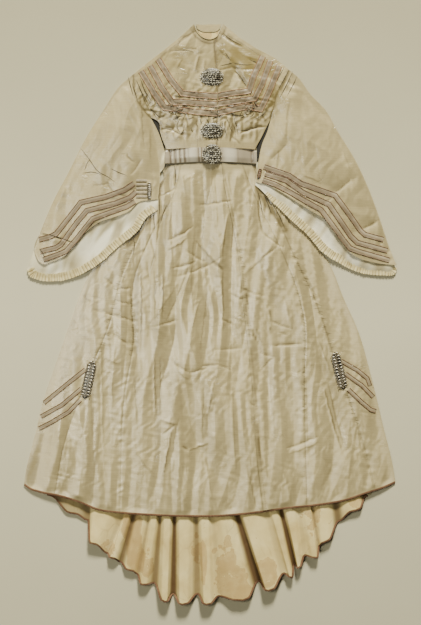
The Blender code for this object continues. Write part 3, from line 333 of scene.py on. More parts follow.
# Sharp creases pressed into the silk, as seen in the photo. Columns: across and down to one end, the
# same to the other end, and how far the middle stands off the straight line, all in the photo's
# pixels, then width and height in mm (minus for a groove)
PIXEL = 3.0           # mm
PHOTO_MIDDLE = (210.5, 314.0)
SKIRT_CREASES = [
    (94, 310, 135.5, 322, -1, 5, -2.2), (114, 334, 129, 345, 0, 4, -1.8),
    (104, 277, 117, 288, 0, 4, -1.6), (117, 288, 132, 288, 1, 4, -1.6),
    (116, 300, 132, 304, 1, 3, -1.3), (83, 295, 91, 303, 0, 4, -1.4), (103, 356, 120, 364, 1, 6, 1.8),
    (131, 280, 135, 350, 1, 8, -2.6), (141, 268, 141, 350, 0, 5, 2.4), (147, 262, 152, 300, 0, 6, -2.0),
    (154, 270, 155, 320, 0, 4, 2.2), (163, 274, 162, 318, 0, 5, 2.4), (190, 262, 165, 322, -2, 7, -2.8),
    (192, 268, 180, 300, 0, 6, 2.2), (151, 327, 179, 320, 0, 4, -1.8), (154, 357, 155, 415, 0, 4, 2.4),
    (160, 358, 161, 416, 0, 6, -2.2), (174, 362, 189, 372, 1, 4, -2.2),
    (189, 372, 208, 367, 1, 4, -2.0), (176, 368, 188, 379, 1, 4, 1.6), (161, 420, 175, 424, 0, 4, 2.0),
    (175, 424, 162, 434, 0, 4, -1.8), (132, 445, 151, 472, 1, 6, 2.2), (172, 429, 161, 486, 0, 4, 2.0),
    (178, 418, 172, 458, 0, 7, -2.4), (182, 446, 189, 450, 0, 4, -1.8), (189, 450, 208, 443, 0, 4, 2.0),
    (91, 330, 96, 480, 2, 12, -2.4), (101, 340, 104, 470, 0, 9, 1.8), (176, 165, 175, 187, 0, 5, -2.6),
    (161, 196, 175, 188, 1, 4, -2.0), (162, 215, 156, 250, 1, 6, -2.4),
    (156, 250, 150, 276, 0, 6, -2.0), (172, 200, 168, 240, 0, 6, 2.0), (228, 215, 222, 262, 1, 6, 2.2),
    (234, 210, 231, 260, 0, 6, -1.8), (204, 215, 203, 270, 1, 7, 1.8), (196, 225, 192, 300, 2, 8, -1.8),
    (246, 286, 250, 329, 1, 5, -2.6), (250, 329, 260, 350, -1, 4, -2.4),
    (254, 326, 262, 346, -1, 4, 2.0), (269, 308, 270, 333, 0, 4, 2.0), (270, 320, 293, 329, 1, 3, -1.8),
    (278, 331, 288, 336, 0, 3, -1.6), (272, 345, 303, 343, 1, 4, -2.2),
    (260, 353, 274, 357, 0, 5, -2.0), (274, 357, 260, 371, 1, 5, -1.8),
    (307, 279, 317, 303, 0, 3, -2.2), (324, 388, 341, 450, 1, 5, 2.6), (328, 384, 346, 452, 1, 6, -2.2),
    (286, 448, 317, 436, 1, 5, -2.2), (288, 453, 318, 441, 1, 6, 2.0), (222, 319, 233, 324, 0, 3, -1.6),
    (231, 294, 243, 300, 0, 3, -1.4), (238, 287, 265, 296, 1, 3, -1.5),
    (215, 350, 243, 348, 0, 7, -2.0), (200, 367, 221, 365, -1, 3, -1.6),
    (221, 365, 231, 370, 0, 3, -1.4), (214, 381, 207, 415, 0, 5, 2.0), (250, 401, 257, 407, 1, 3, -1.3),
    (222, 270, 223, 329, 0, 5, 1.8), (204, 381, 202, 440, 0, 8, -2.2), (258, 405, 260, 458, 0, 5, -1.2),
    (247, 465, 256, 508, 0, 8, -2.4), (350, 400, 368, 470, 1, 12, -2.0),
    (112, 375, 112, 420, 0, 9, 1.8), (135, 190, 108, 250, 1, 10, 1.6), (60, 440, 66, 480, 0, 14, 1.5),
    (285, 300, 292, 330, 0, 7, 1.8), (318, 340, 330, 372, 0, 7, 1.5), (232, 385, 236, 470, 1, 8, 1.6),
    (270, 375, 275, 440, 1, 8, 1.8), (283, 470, 292, 505, 0, 9, 1.6), (205, 455, 212, 500, 0, 9, 1.6),
    (135, 380, 138, 430, 0, 6, -1.6), (200, 300, 188, 345, 1, 7, 2.0), (208, 290, 200, 350, 0, 7, -1.8),
    (168, 240, 193, 226, 2, 5, -2.8), (195, 240, 223, 269, 1, 5, 2.8), (199, 205, 233, 200, 1, 4, -2.4),
    (177, 277, 222, 257, 2, 6, -2.6), (150, 323, 178, 283, 1, 9, 2.4), (247, 272, 273, 245, 1, 6, 2.6),
    (258, 196, 262, 232, 1, 4, -2.4), (262, 232, 284, 248, 1, 4, -2.2), (186, 250, 206, 262, 1, 5, -2.4),
    (168, 250, 186, 239, 1, 4, 2.2), (212, 262, 223, 271, 0, 6, -3.0), (172, 268, 196, 262, 1, 4, -2.0),
    (262, 258, 276, 248, 0, 7, -2.8), (150, 236, 156, 262, 0, 5, -2.2), (262, 300, 268, 350, 0, 8, -2.4),
]
BODICE_CREASES = [
    (170, 52, 197, 50, -1, 4, -2.0), (219, 33, 241, 47, 1, 4, -2.4), (196, 31, 182, 39, 0, 4, -1.8),
    (220, 51, 238, 66, 1, 4, -1.8), (220, 71, 232, 68, 0, 3, -1.6), (232, 68, 256, 70, 1, 4, -2.0),
    (235, 71, 247, 88, 0, 4, -2.8), (247, 88, 255, 104, 0, 4, -2.8), (248, 59, 257, 65, 0, 3, -1.8),
    (240, 134, 268, 126, -1, 3, -2.2), (155, 130, 172, 129, 0, 4, -2.6),
    (172, 129, 184, 136, 1, 4, -2.2), (178, 68, 182, 60, 0, 5, 1.6), (200, 55, 195, 72, 1, 6, 1.8),
    (226, 122, 222, 140, 0, 4, -1.6), (232, 121, 230, 142, 0, 4, 1.6), (236, 122, 238, 136, 0, 3, -1.4),
    (186, 118, 188, 128, 0, 4, -1.4), (152, 92, 160, 110, 1, 3, -2.0), (156, 88, 163, 106, 1, 3, 1.6),
    (262, 118, 250, 108, 0, 4, -1.8), (258, 112, 266, 122, 0, 3, -1.6), (205, 60, 203, 90, 1, 8, 1.4),
    (238, 52, 262, 60, 2, 7, 1.6), (165, 42, 186, 36, 0, 5, 1.4), (250, 76, 246, 98, 0, 4, 1.6),
    (160, 120, 158, 135, 0, 4, 1.6), (230, 136, 240, 144, 0, 3, -1.3),
]
SLEEVE_RIGHT_CREASES = [
    (50, 237, 76, 244, -1, 4, -2.4), (127, 155, 135, 163, 1, 4, -2.0), (107, 182, 116, 194, 1, 4, -1.8),
    (116, 194, 128, 198, 0, 4, -1.6), (130, 175, 142, 160, 1, 8, -2.0), (143, 90, 145, 150, 2, 7, -2.0),
    (150, 100, 156, 128, 1, 5, 1.8), (140, 188, 122, 192, 0, 6, -1.8), (165, 85, 160, 105, 0, 4, -2.0),
    (157, 78, 152, 96, 0, 4, -1.8), (95, 186, 108, 184, 0, 4, -1.2), (108, 196, 124, 203, 0, 4, 1.2),
    (150, 130, 150, 160, 0, 7, 1.5),
]
SLEEVE_LEFT_CREASES = [
    (360, 230, 379, 220, 1, 4, -2.2), (335, 192, 350, 180, 1, 4, -2.0),
    (290, 100, 286, 145, 1, 10, -2.8), (286, 145, 270, 160, 0, 8, -2.4), (293, 72, 285, 92, 0, 4, 2.0),
    (288, 70, 280, 90, 0, 4, -2.0), (322, 205, 332, 198, 0, 4, -1.5), (343, 150, 350, 170, 1, 8, 1.4),
    (300, 175, 318, 182, 0, 5, 1.2), (278, 150, 276, 168, 0, 6, 1.6),
]
SLEEVE_CREASES = {"right": SLEEVE_RIGHT_CREASES, "left": SLEEVE_LEFT_CREASES}
SLEEVE_SEEDS = {"right": 60, "left": 70}


def smooth(t):
    t = np.clip(t, 0.0, 1.0)
    return t * t * (3.0 - 2.0 * t)


def bell(distance, width):
    """1 at no distance, dying away over this width."""
    return np.exp(-(distance / width) ** 2)


def through(points, fractions):
    """Points on a smooth curve through the given ones, at these fractions of its length."""
    points = np.asarray(points, float)
    steps = np.maximum(np.linalg.norm(np.diff(points[:, :2], axis=0), axis=1), 1e-6)
    at = np.concatenate([[0.0], np.cumsum(steps)])
    slopes = np.diff(points, axis=0) / steps[:, None]
    tangents = np.vstack([slopes[:1], slopes, slopes[-1:]])
    weights = np.concatenate([[1.0], steps, [1.0]])[:, None]
    tangents = (tangents[:-1] * weights[1:] + tangents[1:] * weights[:-1])
    tangents /= (weights[1:] + weights[:-1])
    where = np.asarray(fractions, float) * at[-1]
    row = np.clip(np.searchsorted(at, where, side="right") - 1, 0, len(steps) - 1)
    t = ((where - at[row]) / steps[row])[:, None]
    h = steps[row][:, None]
    return ((2 * t**3 - 3 * t**2 + 1) * points[row] + (t**3 - 2 * t**2 + t) * h * tangents[row]
            + (3 * t**2 - 2 * t**3) * points[row + 1] + (t**3 - t**2) * h * tangents[row + 1])


def even(points, count):
    """The smooth curve in equal lengths."""
    fine = through(points, np.linspace(0, 1, 400))
    steps = np.linalg.norm(np.diff(fine[:, :2], axis=0), axis=1)
    at = np.concatenate([[0.0], np.cumsum(steps)]) / steps.sum()
    target = np.linspace(0, 1, count)
    return np.column_stack([np.interp(target, at, fine[:, i]) for i in range(fine.shape[1])])


def joined(*runs):
    """Runs of points end to end, the shared ends once."""
    out = [runs[0]]
    for run in runs[1:]:
        out.append(run[1:])
    return np.vstack(out)


def x_at(points, y):
    """x of an edge that runs down the dress, at these y."""
    fine = through(points, np.linspace(0, 1, 300))
    order = np.argsort(fine[:, 1])
    return np.interp(y, fine[order, 1], fine[order, 0])


def y_at(points, x):
    """y of a hem that runs across the dress, at these x."""
    fine = through(points, np.linspace(0, 1, 300))
    return np.interp(x, fine[:, 0], fine[:, 1])


def patch(bottom, top, left, right):
    """Coons patch: a grid of rows from bottom to top between two side edges."""
    u = np.linspace(0, 1, len(bottom))[None, :, None]
    v = np.linspace(0, 1, len(left))[:, None, None]
    across = (1 - u) * left[:, None, :] + u * right[:, None, :]
    along = (1 - v) * bottom[None, :, :] + v * top[None, :, :]
    corners = ((1 - u) * (1 - v) * bottom[0] + u * (1 - v) * bottom[-1]
               + (1 - u) * v * top[0] + u * v * top[-1])
    return across + along - corners


def distance_to(lines, x, y):
    """Distance from each place to the nearest of these lines."""
    place = np.stack([x, y], axis=-1)
    nearest = np.full(x.shape, 1e9)
    for line in lines:
        for a, b in zip(line[:-1], line[1:]):
            run = b - a
            t = np.clip(((place - a) @ run) / (run @ run), 0, 1)
            away = np.linalg.norm(place - (a + t[..., None] * run), axis=-1)
            nearest = np.minimum(nearest, away)
    return nearest


def from_line(x, y, x0, y0, x1, y1):
    """How far each place is along a line as a share, to its side, and beyond its ends."""
    run = np.array([x1 - x0, y1 - y0], float)
    length = np.linalg.norm(run)
    run /= length
    along = (x - x0) * run[0] + (y - y0) * run[1]
    away = (x - x0) * run[1] - (y - y0) * run[0]
    return along / length, away, np.maximum(np.maximum(-along, along - length), 0.0)


def folds(table, x, y):
    """Sum of the soft folds in a table, each fading out at its ends."""
    total = np.zeros(np.shape(x))
    for *ends, width, height in table:
        _, away, beyond = from_line(x, y, *ends)
        fade = FOLD_END_SHARE * width + FOLD_END_RUN
        total += height * np.exp(-(away / width) ** 2 - (beyond / fade) ** 2)
    return total


UPPER_OUTLINE = [even(SHOULDER[s], 14) for s in SIDES] + [even(SLEEVE_OUTER[s], 24) for s in SIDES]
BODICE_SIDES = [even(BODICE_SIDE[s], 10) for s in SIDES]
UPPER_OUTLINE += BODICE_SIDES
SLEEVE_OUTLINE = {s: [even(SLEEVE_OUTER[s], 24), even(SLEEVE_FRONT_INNER[s], 12),
                      even(SHOULDER[s], 14)] for s in SIDES}


def waist_lift(y):
    """The cloth behind the waist passes over the back of the belt."""
    return BELT_LIFT * smooth((BELT_REACH + BELT_RUN - np.abs(y - WAIST_Y)) / BELT_RUN)


def skirt_edge_distance(x, y):
    return np.minimum(x - x_at(SKIRT_EDGE["right"], y), x_at(SKIRT_EDGE["left"], y) - x)


def skirt_rise(distance, y):
    full = np.interp(y, [FRONT_HEM_Y, WAIST_Y], [SKIRT_RISE_HEM, SKIRT_RISE_WAIST])
    return full * (1.0 - np.exp(-np.maximum(distance, 0.0) / SKIRT_RISE_RUN))


def skirt_front_under(x, y):
    """Underside of the front gores."""
    distance = skirt_edge_distance(x, y)
    calm = smooth(distance / SKIRT_CALM) * smooth((WAIST_Y - SKIRT_CALM_TOP - y) / SKIRT_CALM)
    base = SILK + LAYER_GAP + waist_lift(y) + skirt_rise(distance, y)
    return base + calm * folds(SKIRT_FOLDS, x, y)


def lap_over_opening(x, y):
    """The gore left of the opening lies on its neighbour."""
    past = x - x_at(GORE_SEAMS[OPENING_SEAM], y)
    return OPENING_HEIGHT * (1.0 - smooth(past / OPENING_RAMP))


def sleeve_support(x, y):
    """What the sleeves lie on: the floor, then the sides of the skirt."""
    distance = skirt_edge_distance(x, y)
    step = SLEEVE_CLEAR * smooth((distance + SLEEVE_RAMP) / SLEEVE_RAMP)
    below_waist = smooth((WAIST_Y + SLEEVE_WAIST_RUN - y) / (2 * SLEEVE_WAIST_RUN))
    over_belt = waist_lift(y) * smooth(distance / SLEEVE_WAIST_RUN + 1)
    return (step + skirt_rise(distance, y) + over_belt) * below_waist


def upper_base(y):
    """The front layers lie a little higher where the sleeve lining comes between."""
    return SILK + LAYER_GAP + (LINING + SLEEVE_GAP) * smooth((LINING_TOP_Y - y) / LINING_RUN)


def bodice_under(x, y):
    distance = distance_to(UPPER_OUTLINE, x, y)
    rise = UPPER_RISE * (1.0 - np.exp(-distance / UPPER_RISE_RUN))
    calm = smooth(distance / UPPER_CALM) * smooth((y - BODICE_CALM_Y) / BODICE_CALM_RUN)
    return upper_base(y) + waist_lift(y) + rise + calm * folds(BODICE_FOLDS, x, y)


def sleeve_front_under(side):
    def under(x, y):
        distance = distance_to(SLEEVE_OUTLINE[side] + BODICE_SIDES, x, y)
        rise = UPPER_RISE * (1.0 - np.exp(-distance / UPPER_RISE_RUN))
        calm = smooth(distance / UPPER_CALM)
        return upper_base(y) + sleeve_support(x, y) + rise + calm * folds(SLEEVE_FOLDS[side], x, y)
    return under


def closure_rise(x):
    """The right front rises over the left one towards the closure."""
    return CLOSURE_LAP * smooth((x - UNDERLAP_X + CLOSURE_RAMP + CLOSURE_CLEAR) / CLOSURE_RAMP)


def offset_line(line, width):
    """A mitred line beside this one, to its left by width."""
    runs = np.diff(line, axis=0)
    runs /= np.linalg.norm(runs, axis=1)[:, None]
    normals = np.column_stack([-runs[:, 1], runs[:, 0]])
    first = np.vstack([normals[:1], normals])
    second = np.vstack([normals, normals[-1:]])
    middle = first + second
    middle /= np.linalg.norm(middle, axis=1)[:, None]
    stretch = 1.0 / np.maximum((middle * first).sum(axis=1), 0.6)
    return line + middle * (stretch * width)[:, None]


def divided(line, length=None, parts=None):
    """A line with its corners kept, its runs cut into so many parts or steps of about this length."""
    out = [line[0]]
    for a, b in zip(line[:-1], line[1:]):
        count = parts or max(1, round(float(np.linalg.norm(b - a)) / length))
        out += [a + (b - a) * k / count for k in range(1, count + 1)]
    return np.array(out)


def seam_line(index):
    """A seam of the skirt front from waist to hem; -1 and 5 are its side edges."""
    if index < 0:
        return SKIRT_EDGE["right"]
    if index >= len(GORE_SEAMS):
        return SKIRT_EDGE["left"]
    return GORE_SEAMS[index]


def train_rows(steps, shares):
    """Rows of the train from above the front hem to its own hem, with the height of the pleats.

    A share of 0 is the front hem and 1 the edge of the cloth; less than 0 is under the front.
    """
    line, t = pleat_line(steps)
    top_x, hem_x, hem_y, lift = line.T
    hem = np.column_stack([hem_x, hem_y])
    bound = (t > BOUND_FROM) & (t < t[-1] - BOUND_TO)
    cut = np.where(bound[:, None], offset_line(hem, BRAID_WIDTH + SEAM_GAP), hem)
    top_y = np.maximum(y_at(FRONT_HEM, top_x), cut[:, 1] + PLEAT_SHORTEST)
    ends = top_x[0], top_x[-1]
    rows = []
    for share in shares:
        if share < 0:
            y = top_y - share * PLEAT_FADE_Y
            right, left = x_at(SKIRT_EDGE["right"], y), x_at(SKIRT_EDGE["left"], y)
            x = right + (top_x - ends[0]) / (ends[1] - ends[0]) * (left - right)
            height = lift * PLEAT_AT_HEM * smooth(1 + share)
        else:
            x = top_x + (cut[:, 0] - top_x) * share
            y = top_y + (cut[:, 1] - top_y) * share
            height = lift * (PLEAT_AT_HEM + (1 - PLEAT_AT_HEM) * share)
        rows.append(np.column_stack([x, y, height]))
    return np.array(rows), hem, lift, bound


def armscye_line(side):
    """The armhole seam, the same corners for the bodice and the sleeve."""
    return even(ARMSCYE[side], ARMSCYE_STEPS + 1)


def from_armhole(side, x, y):
    return distance_to([even(ARMSCYE[side], 8)], x, y)


def front_hem_line(count):
    """The front hem, and the line inside its braid at which the cloth ends."""
    x = np.linspace(SKIRT_EDGE["right"][-1][0], SKIRT_EDGE["left"][-1][0], count)
    hem = np.column_stack([x, y_at(FRONT_HEM, x)])
    return hem, offset_line(hem, BRAID_WIDTH + SEAM_GAP)


def sleeve_grid(side, outer, inner, hem, columns, rows):
    """Grid of a sleeve layer from the armhole seam to its hem."""
    head = armscye_line(side)
    head[:, 0] += OUTWARD[side] * SEAM_GAP / 2
    head = divided(head, parts=columns // ARMSCYE_STEPS)
    outer, inner = even(outer, rows + 1), even(inner, rows + 1)
    hem = even(hem, columns + 1)
    outer[0], inner[0] = head[0], head[-1]
    hem[0], hem[-1] = outer[-1], inner[-1]
    return patch(head, hem, outer, inner)


def pleat_line(steps):
    """Where the pleats leave the front hem and meet the train hem: broad crests, steep valleys."""
    rows = list(TRAIN_ENDS[:2])
    crest = [True] * 2
    for row in PLEATS:
        rows += [row[:4], row[4:]]
        crest += [True, False]
    rows = np.array(rows + list(TRAIN_ENDS[2:]), float)
    crest = np.array(crest + [False] * (len(rows) - len(crest)))
    t = np.linspace(0, len(rows) - 1, (len(rows) - 1) * steps + 1)
    low = np.clip(t.astype(int), 0, len(rows) - 2)
    part = t - low
    falls = crest[low]
    late = np.where(falls, smooth((part - 0.35) / 0.6), smooth((part - 0.05) / 0.6))
    step = rows[low + 1] - rows[low]
    line = rows[low] + step * part[:, None]
    line[:, 2] = rows[low, 2] + step[:, 2] * (0.35 * part + 0.65 * late)
    line[:, 3] = rows[low, 3] + step[:, 3] * late
    return line, t


def lattice(x, y, across, along, seed):
    """Smooth random waves with about one crest in each cell of this size, from -1 to 1."""
    values = np.random.default_rng(seed).uniform(-1, 1, (LATTICE, LATTICE))
    u, v = np.asarray(x) / across, np.asarray(y) / along
    i, j = np.floor(u).astype(int), np.floor(v).astype(int)
    s, t = smooth(u - i), smooth(v - j)
    i, j, k, m = i % LATTICE, j % LATTICE, (i + 1) % LATTICE, (j + 1) % LATTICE
    low = values[i, j] * (1 - s) + values[k, j] * s
    high = values[i, m] * (1 - s) + values[k, m] * s
    return low * (1 - t) + high * t


def crumple(x, y, across, along, seed):
    """Crushed taffeta: nearly flat facets that meet in sharp ridges, from about -1 to 1."""
    total = 0.0
    for k, (turn, size) in enumerate(RIDGES):
        u = (x / across * math.cos(turn) + y / along * math.sin(turn)) / size
        u = u + 0.55 * lattice(x, y, 1.7 * across * size, 1.1 * along * size, seed + 3 * k)
        strong = np.clip(0.45 + lattice(x, y, 1.9 * across, 1.3 * along, seed + 3 * k + 1), 0.0, 1.2)
        total = total + strong * size * (4 * np.abs(u - np.floor(u) - 0.5) - 1)
    return 1.3 * total


def crumples(table, x, y, seed=0):
    """Sum of crushed layers. Columns: height, cell across and along, seed."""
    return sum(height * crumple(x, y, across, along, seed + own) for height, across, along, own in table)


def beside(table, x, y):
    """For each crease of a table: the way across it, its width and height, and how full it is."""
    drift = DRIFT * lattice(x, y, DRIFT_CELL, DRIFT_CELL, 33)
    for across, down, end_across, end_down, bow, width, height in table:
        x0, y0 = (across - PHOTO_MIDDLE[0]) * PIXEL, (PHOTO_MIDDLE[1] - down) * PIXEL
        x1, y1 = (end_across - PHOTO_MIDDLE[0]) * PIXEL, (PHOTO_MIDDLE[1] - end_down) * PIXEL
        along, away, beyond = from_line(x, y, x0, y0, x1, y1)
        t = np.clip(along, 0, 1)
        away = away - bow * PIXEL * 4 * t * (1 - t) + drift
        fade = (0.15 + 0.85 * (4 * t * (1 - t)) ** 0.6) * bell(beyond, CREASE_END)
        yield away, width, height, fade


def creases(table, x, y):
    """Sum of the sharp creases in a table."""
    total = np.zeros(np.shape(x))
    for away, width, height, fade in beside(table, x, y):
        steep = np.where(away > 0, 0.55, 1.25) * width
        total += height * fade * np.exp(-np.sqrt((away / steep) ** 2 + 0.02) + 0.14)
    return total


def painted_crease_lines(table, x, y):
    """Painted shade and highlight beside each crease: a fine dark line of painted shade and a painted
    light edge.
    """
    total = np.zeros(np.shape(x))
    for away, width, height, fade in beside(table, x, y):
        line = 0.45 * bell(away - 4.5, 3.0) - 1.5 * bell(away + 0.8, 2.5)
        total += line * fade * np.sqrt(np.abs(height)) * min(1.0, (4.5 / width) ** 1.5)
    return total


def puckers(away, along, reach, seed):
    """Short ripples that a seam draws into the cloth beside it."""
    near = np.exp(-np.maximum(away, 0.0) / reach)
    return near * lattice(away, along, 2 * reach, 11.0, seed)


def skirt_crush(x, y):
    """Creases, crushed facets and seam puckers of the front of the skirt."""
    edge = skirt_edge_distance(x, y)
    below, run = WAIST_CRUSH_CALM
    calm = smooth(edge / SKIRT_CRUSH_CALM) * smooth((WAIST_Y - below - y) / run)
    hem_calm = smooth((y - y_at(FRONT_HEM, x)) / HEM_CRUSH_CALM)
    spread = x + 0.22 * x * (WAIST_Y - y) / 400
    gathers = 1.2 * smooth((y - 230.0) / 180.0) * lattice(spread, y, 13.0, 160.0, 31)
    total = crumples(SKIRT_CRUMPLES, x, y) + gathers + 0.5 * creases(SKIRT_CREASES, x, y)
    for k, seam in enumerate(GORE_SEAMS):
        away = np.abs(x - x_at(seam, y))
        total += 0.5 * puckers(away, y, SEAM_PUCKER, 40 + k)
        total -= 0.35 * bell(away, 3.0)
    return CRUSH * total * calm * hem_calm


def skirt_bottom(x, y, lapped=False):
    """Underside of the fine skirt front, clear of the back below it."""
    low = skirt_front_under(x, y) + skirt_crush(x, y)
    if lapped:
        low = low + lap_over_opening(x, y)
    return np.maximum(low, SILK + LEAST_GAP + waist_lift(y))


def bodice_crush(x, y):
    """Creases and crushed facets of the bodice, most of them across the chest."""
    edge = distance_to(UPPER_OUTLINE, x, y)
    calm = smooth(edge / UPPER_CRUSH_CALM) * smooth((y - 512.0) / 22.0)
    ruffled = 0.15 + 0.85 * bell(y - RUFFLED_Y, RUFFLED_RUN)
    total = 0.35 * crumple(x, y, 44.0, 60.0, 5) + 0.40 * ruffled * crumple(x, y, 17.0, 12.0, 25)
    total += 0.9 * smooth((620.0 - y) / 40.0) * lattice(x, y, 9.0, 70.0, 8)
    return CRUSH * (total + 0.55 * creases(BODICE_CREASES, x, y)) * calm


def bodice_left_bottom(x, y):
    low = bodice_under(x, y) + bodice_crush(x, y)
    return np.maximum(low, SILK + LEAST_GAP + waist_lift(y))


def bodice_right_bottom(x, y):
    return bodice_left_bottom(x, y) + closure_rise(x)


def sleeve_bottom(side):
    """Underside of the fine front of a sleeve, clear of the lining below it."""
    form = sleeve_front_under(side)
    seed = SLEEVE_SEEDS[side]

    def bottom(x, y):
        edge = distance_to(SLEEVE_OUTLINE[side] + [even(SLEEVE_FRONT_HEM[side], 20)], x, y)
        head = from_armhole(side, x, y)
        total = crumples(SLEEVE_CRUMPLES, x, y, seed)
        total += 1.3 * np.exp(-head / 45.0) * lattice(x + 0.5 * y, y, 10.0, 60.0, seed + 3)
        total += 0.5 * creases(SLEEVE_CREASES[side], x, y)
        low = form(x, y) + CRUSH * total * smooth(edge / UPPER_CRUSH_CALM) * smooth(head / 10.0)
        return np.maximum(low, sleeve_support(x, y) + SILK + LINING + 2 * LEAST_GAP)
    return bottom


def top_of(bottom):
    def top(x, y):
        return bottom(x, y) + SILK
    return top


class Wire:
    """An output of a shader node, so that shader maths reads as Python."""

    def __init__(self, finish, socket):
        self.finish = finish
        self.socket = socket

    def __add__(self, other):
        return self.finish.maths("ADD", self, other)

    def __sub__(self, other):
        return self.finish.maths("SUBTRACT", self, other)

    def __rsub__(self, other):
        return self.finish.maths("SUBTRACT", other, self)

    def __mul__(self, other):
        return self.finish.maths("MULTIPLY", self, other)

    __radd__ = __add__
    __rmul__ = __mul__


class Finish:
    """One material of the dress and the nodes that give it."""

    def __init__(self, name, **fixed):
        self.material = bpy.data.materials.new(name)
        self.material.use_nodes = True
        self.nodes = self.material.node_tree.nodes
        self.shader = self.nodes["Principled BSDF"]
        for socket, value in fixed.items():
            self.shader.inputs[socket.replace("_", " ")].default_value = value

    def give(self, socket, value):
        if isinstance(value, Wire):
            self.material.node_tree.links.new(value.socket, socket)
        else:
            socket.default_value = value

    def node(self, kind, settings, inputs, out=0):
        node = self.nodes.new("ShaderNode" + kind)
        for key, value in settings.items():
            if key == "stops":
                self.set_stops(node.color_ramp, value)
            else:
                setattr(node, key, value)
        for key, value in inputs.items():
            self.give(node.inputs[key], value)
        return Wire(self, node.outputs[out])

    @staticmethod
    def set_stops(ramp, stops):
        while len(ramp.elements) < len(stops):
            ramp.elements.new(1.0)
        for element, (place, colour) in zip(ramp.elements, stops):
            element.position = place
            element.color = (*colour, 1.0)

    def maths(self, operation, first, second=0.0):
        return self.node("Math", {"operation": operation}, {0: first, 1: second})

    def limit(self, value):
        return self.node("Clamp", {}, {"Value": value, "Min": 0.0, "Max": 1.0})

    def ramp(self, value, *stops):
        return self.node("ValToRGB", {"stops": stops}, {"Fac": value})

    def mix(self, share, first, second, blend="MIX"):
        if not isinstance(second, Wire):
            second = (*second, 1.0)
        return self.node("Mix", {"data_type": "RGBA", "blend_type": blend},
                         {0: share, 6: first, 7: second}, out=2)

    def place(self, stretch=(1.0, 1.0, 1.0)):
        where = self.node("TexCoord", {}, {}, out="Object")
        return self.node("VectorMath", {"operation": "MULTIPLY"}, {0: where, 1: stretch})

    def noise(self, scale, stretch=(1.0, 1.0, 1.0), detail=3.0, rough=0.55, twist=0.0):
        return self.node("TexNoise", {}, {"Vector": self.place(stretch), "Scale": scale,
                                          "Detail": detail, "Roughness": rough,
                                          "Distortion": twist})

    def cells(self, scale, stretch, bend, feature, out):
        """Crisp-edged cells of crushed cloth, bent out of true by soft noise."""
        drift = self.node("TexNoise", {},
                          {"Vector": self.place(), "Scale": 0.4 * scale, "Detail": 2.0}, out=1)
        where = self.node("VectorMath", {"operation": "MULTIPLY_ADD"},
                          {0: drift, 1: (bend, bend, 0.0), 2: self.place(stretch)})
        return self.node("TexVoronoi", {"feature": feature, "voronoi_dimensions": "2D"},
                         {"Vector": where, "Scale": scale}, out=out)

    def weave(self, threads, stretch):
        """Fine ribs of the weave, this many to a metre."""
        return self.node("TexWave", {"bands_direction": "Y"},
                         {"Vector": self.place(stretch), "Scale": threads, "Distortion": 1.5,
                          "Detail": 1.0})

    def mark(self, name):
        """What the mesh says at each point, such as how deep a fold is."""
        return self.node("Attribute", {"attribute_name": name}, {}, out="Fac")

    def bump(self, height, strength, depth, over=None):
        inputs = {"Height": height, "Strength": strength, "Distance": depth}
        if over is not None:
            inputs["Normal"] = over
        return self.node("Bump", {}, inputs)

    def set(self, colour, roughness, normal=None):
        self.give(self.shader.inputs["Base Color"], colour)
        self.give(self.shader.inputs["Roughness"], roughness)
        if normal is not None:
            self.give(self.shader.inputs["Normal"], normal)
        return self.material


# Colours of the silk from painted shade through its mid tone to painted sheen; its own random tone also
# runs between them. Olive where it is worn
TAFFETA_LIGHT = (0.71, 0.605, 0.39)
TAFFETA_MID = (0.435, 0.355, 0.19)
TAFFETA_DARK = (0.17, 0.130, 0.060)
TAFFETA_OLIVE = (0.215, 0.160, 0.050)
# Near black for painted shadow, under the belt and in the gaps between the bodice and the sleeves
PAINTED_SHADOW_BLACK = (0.010, 0.008, 0.005)


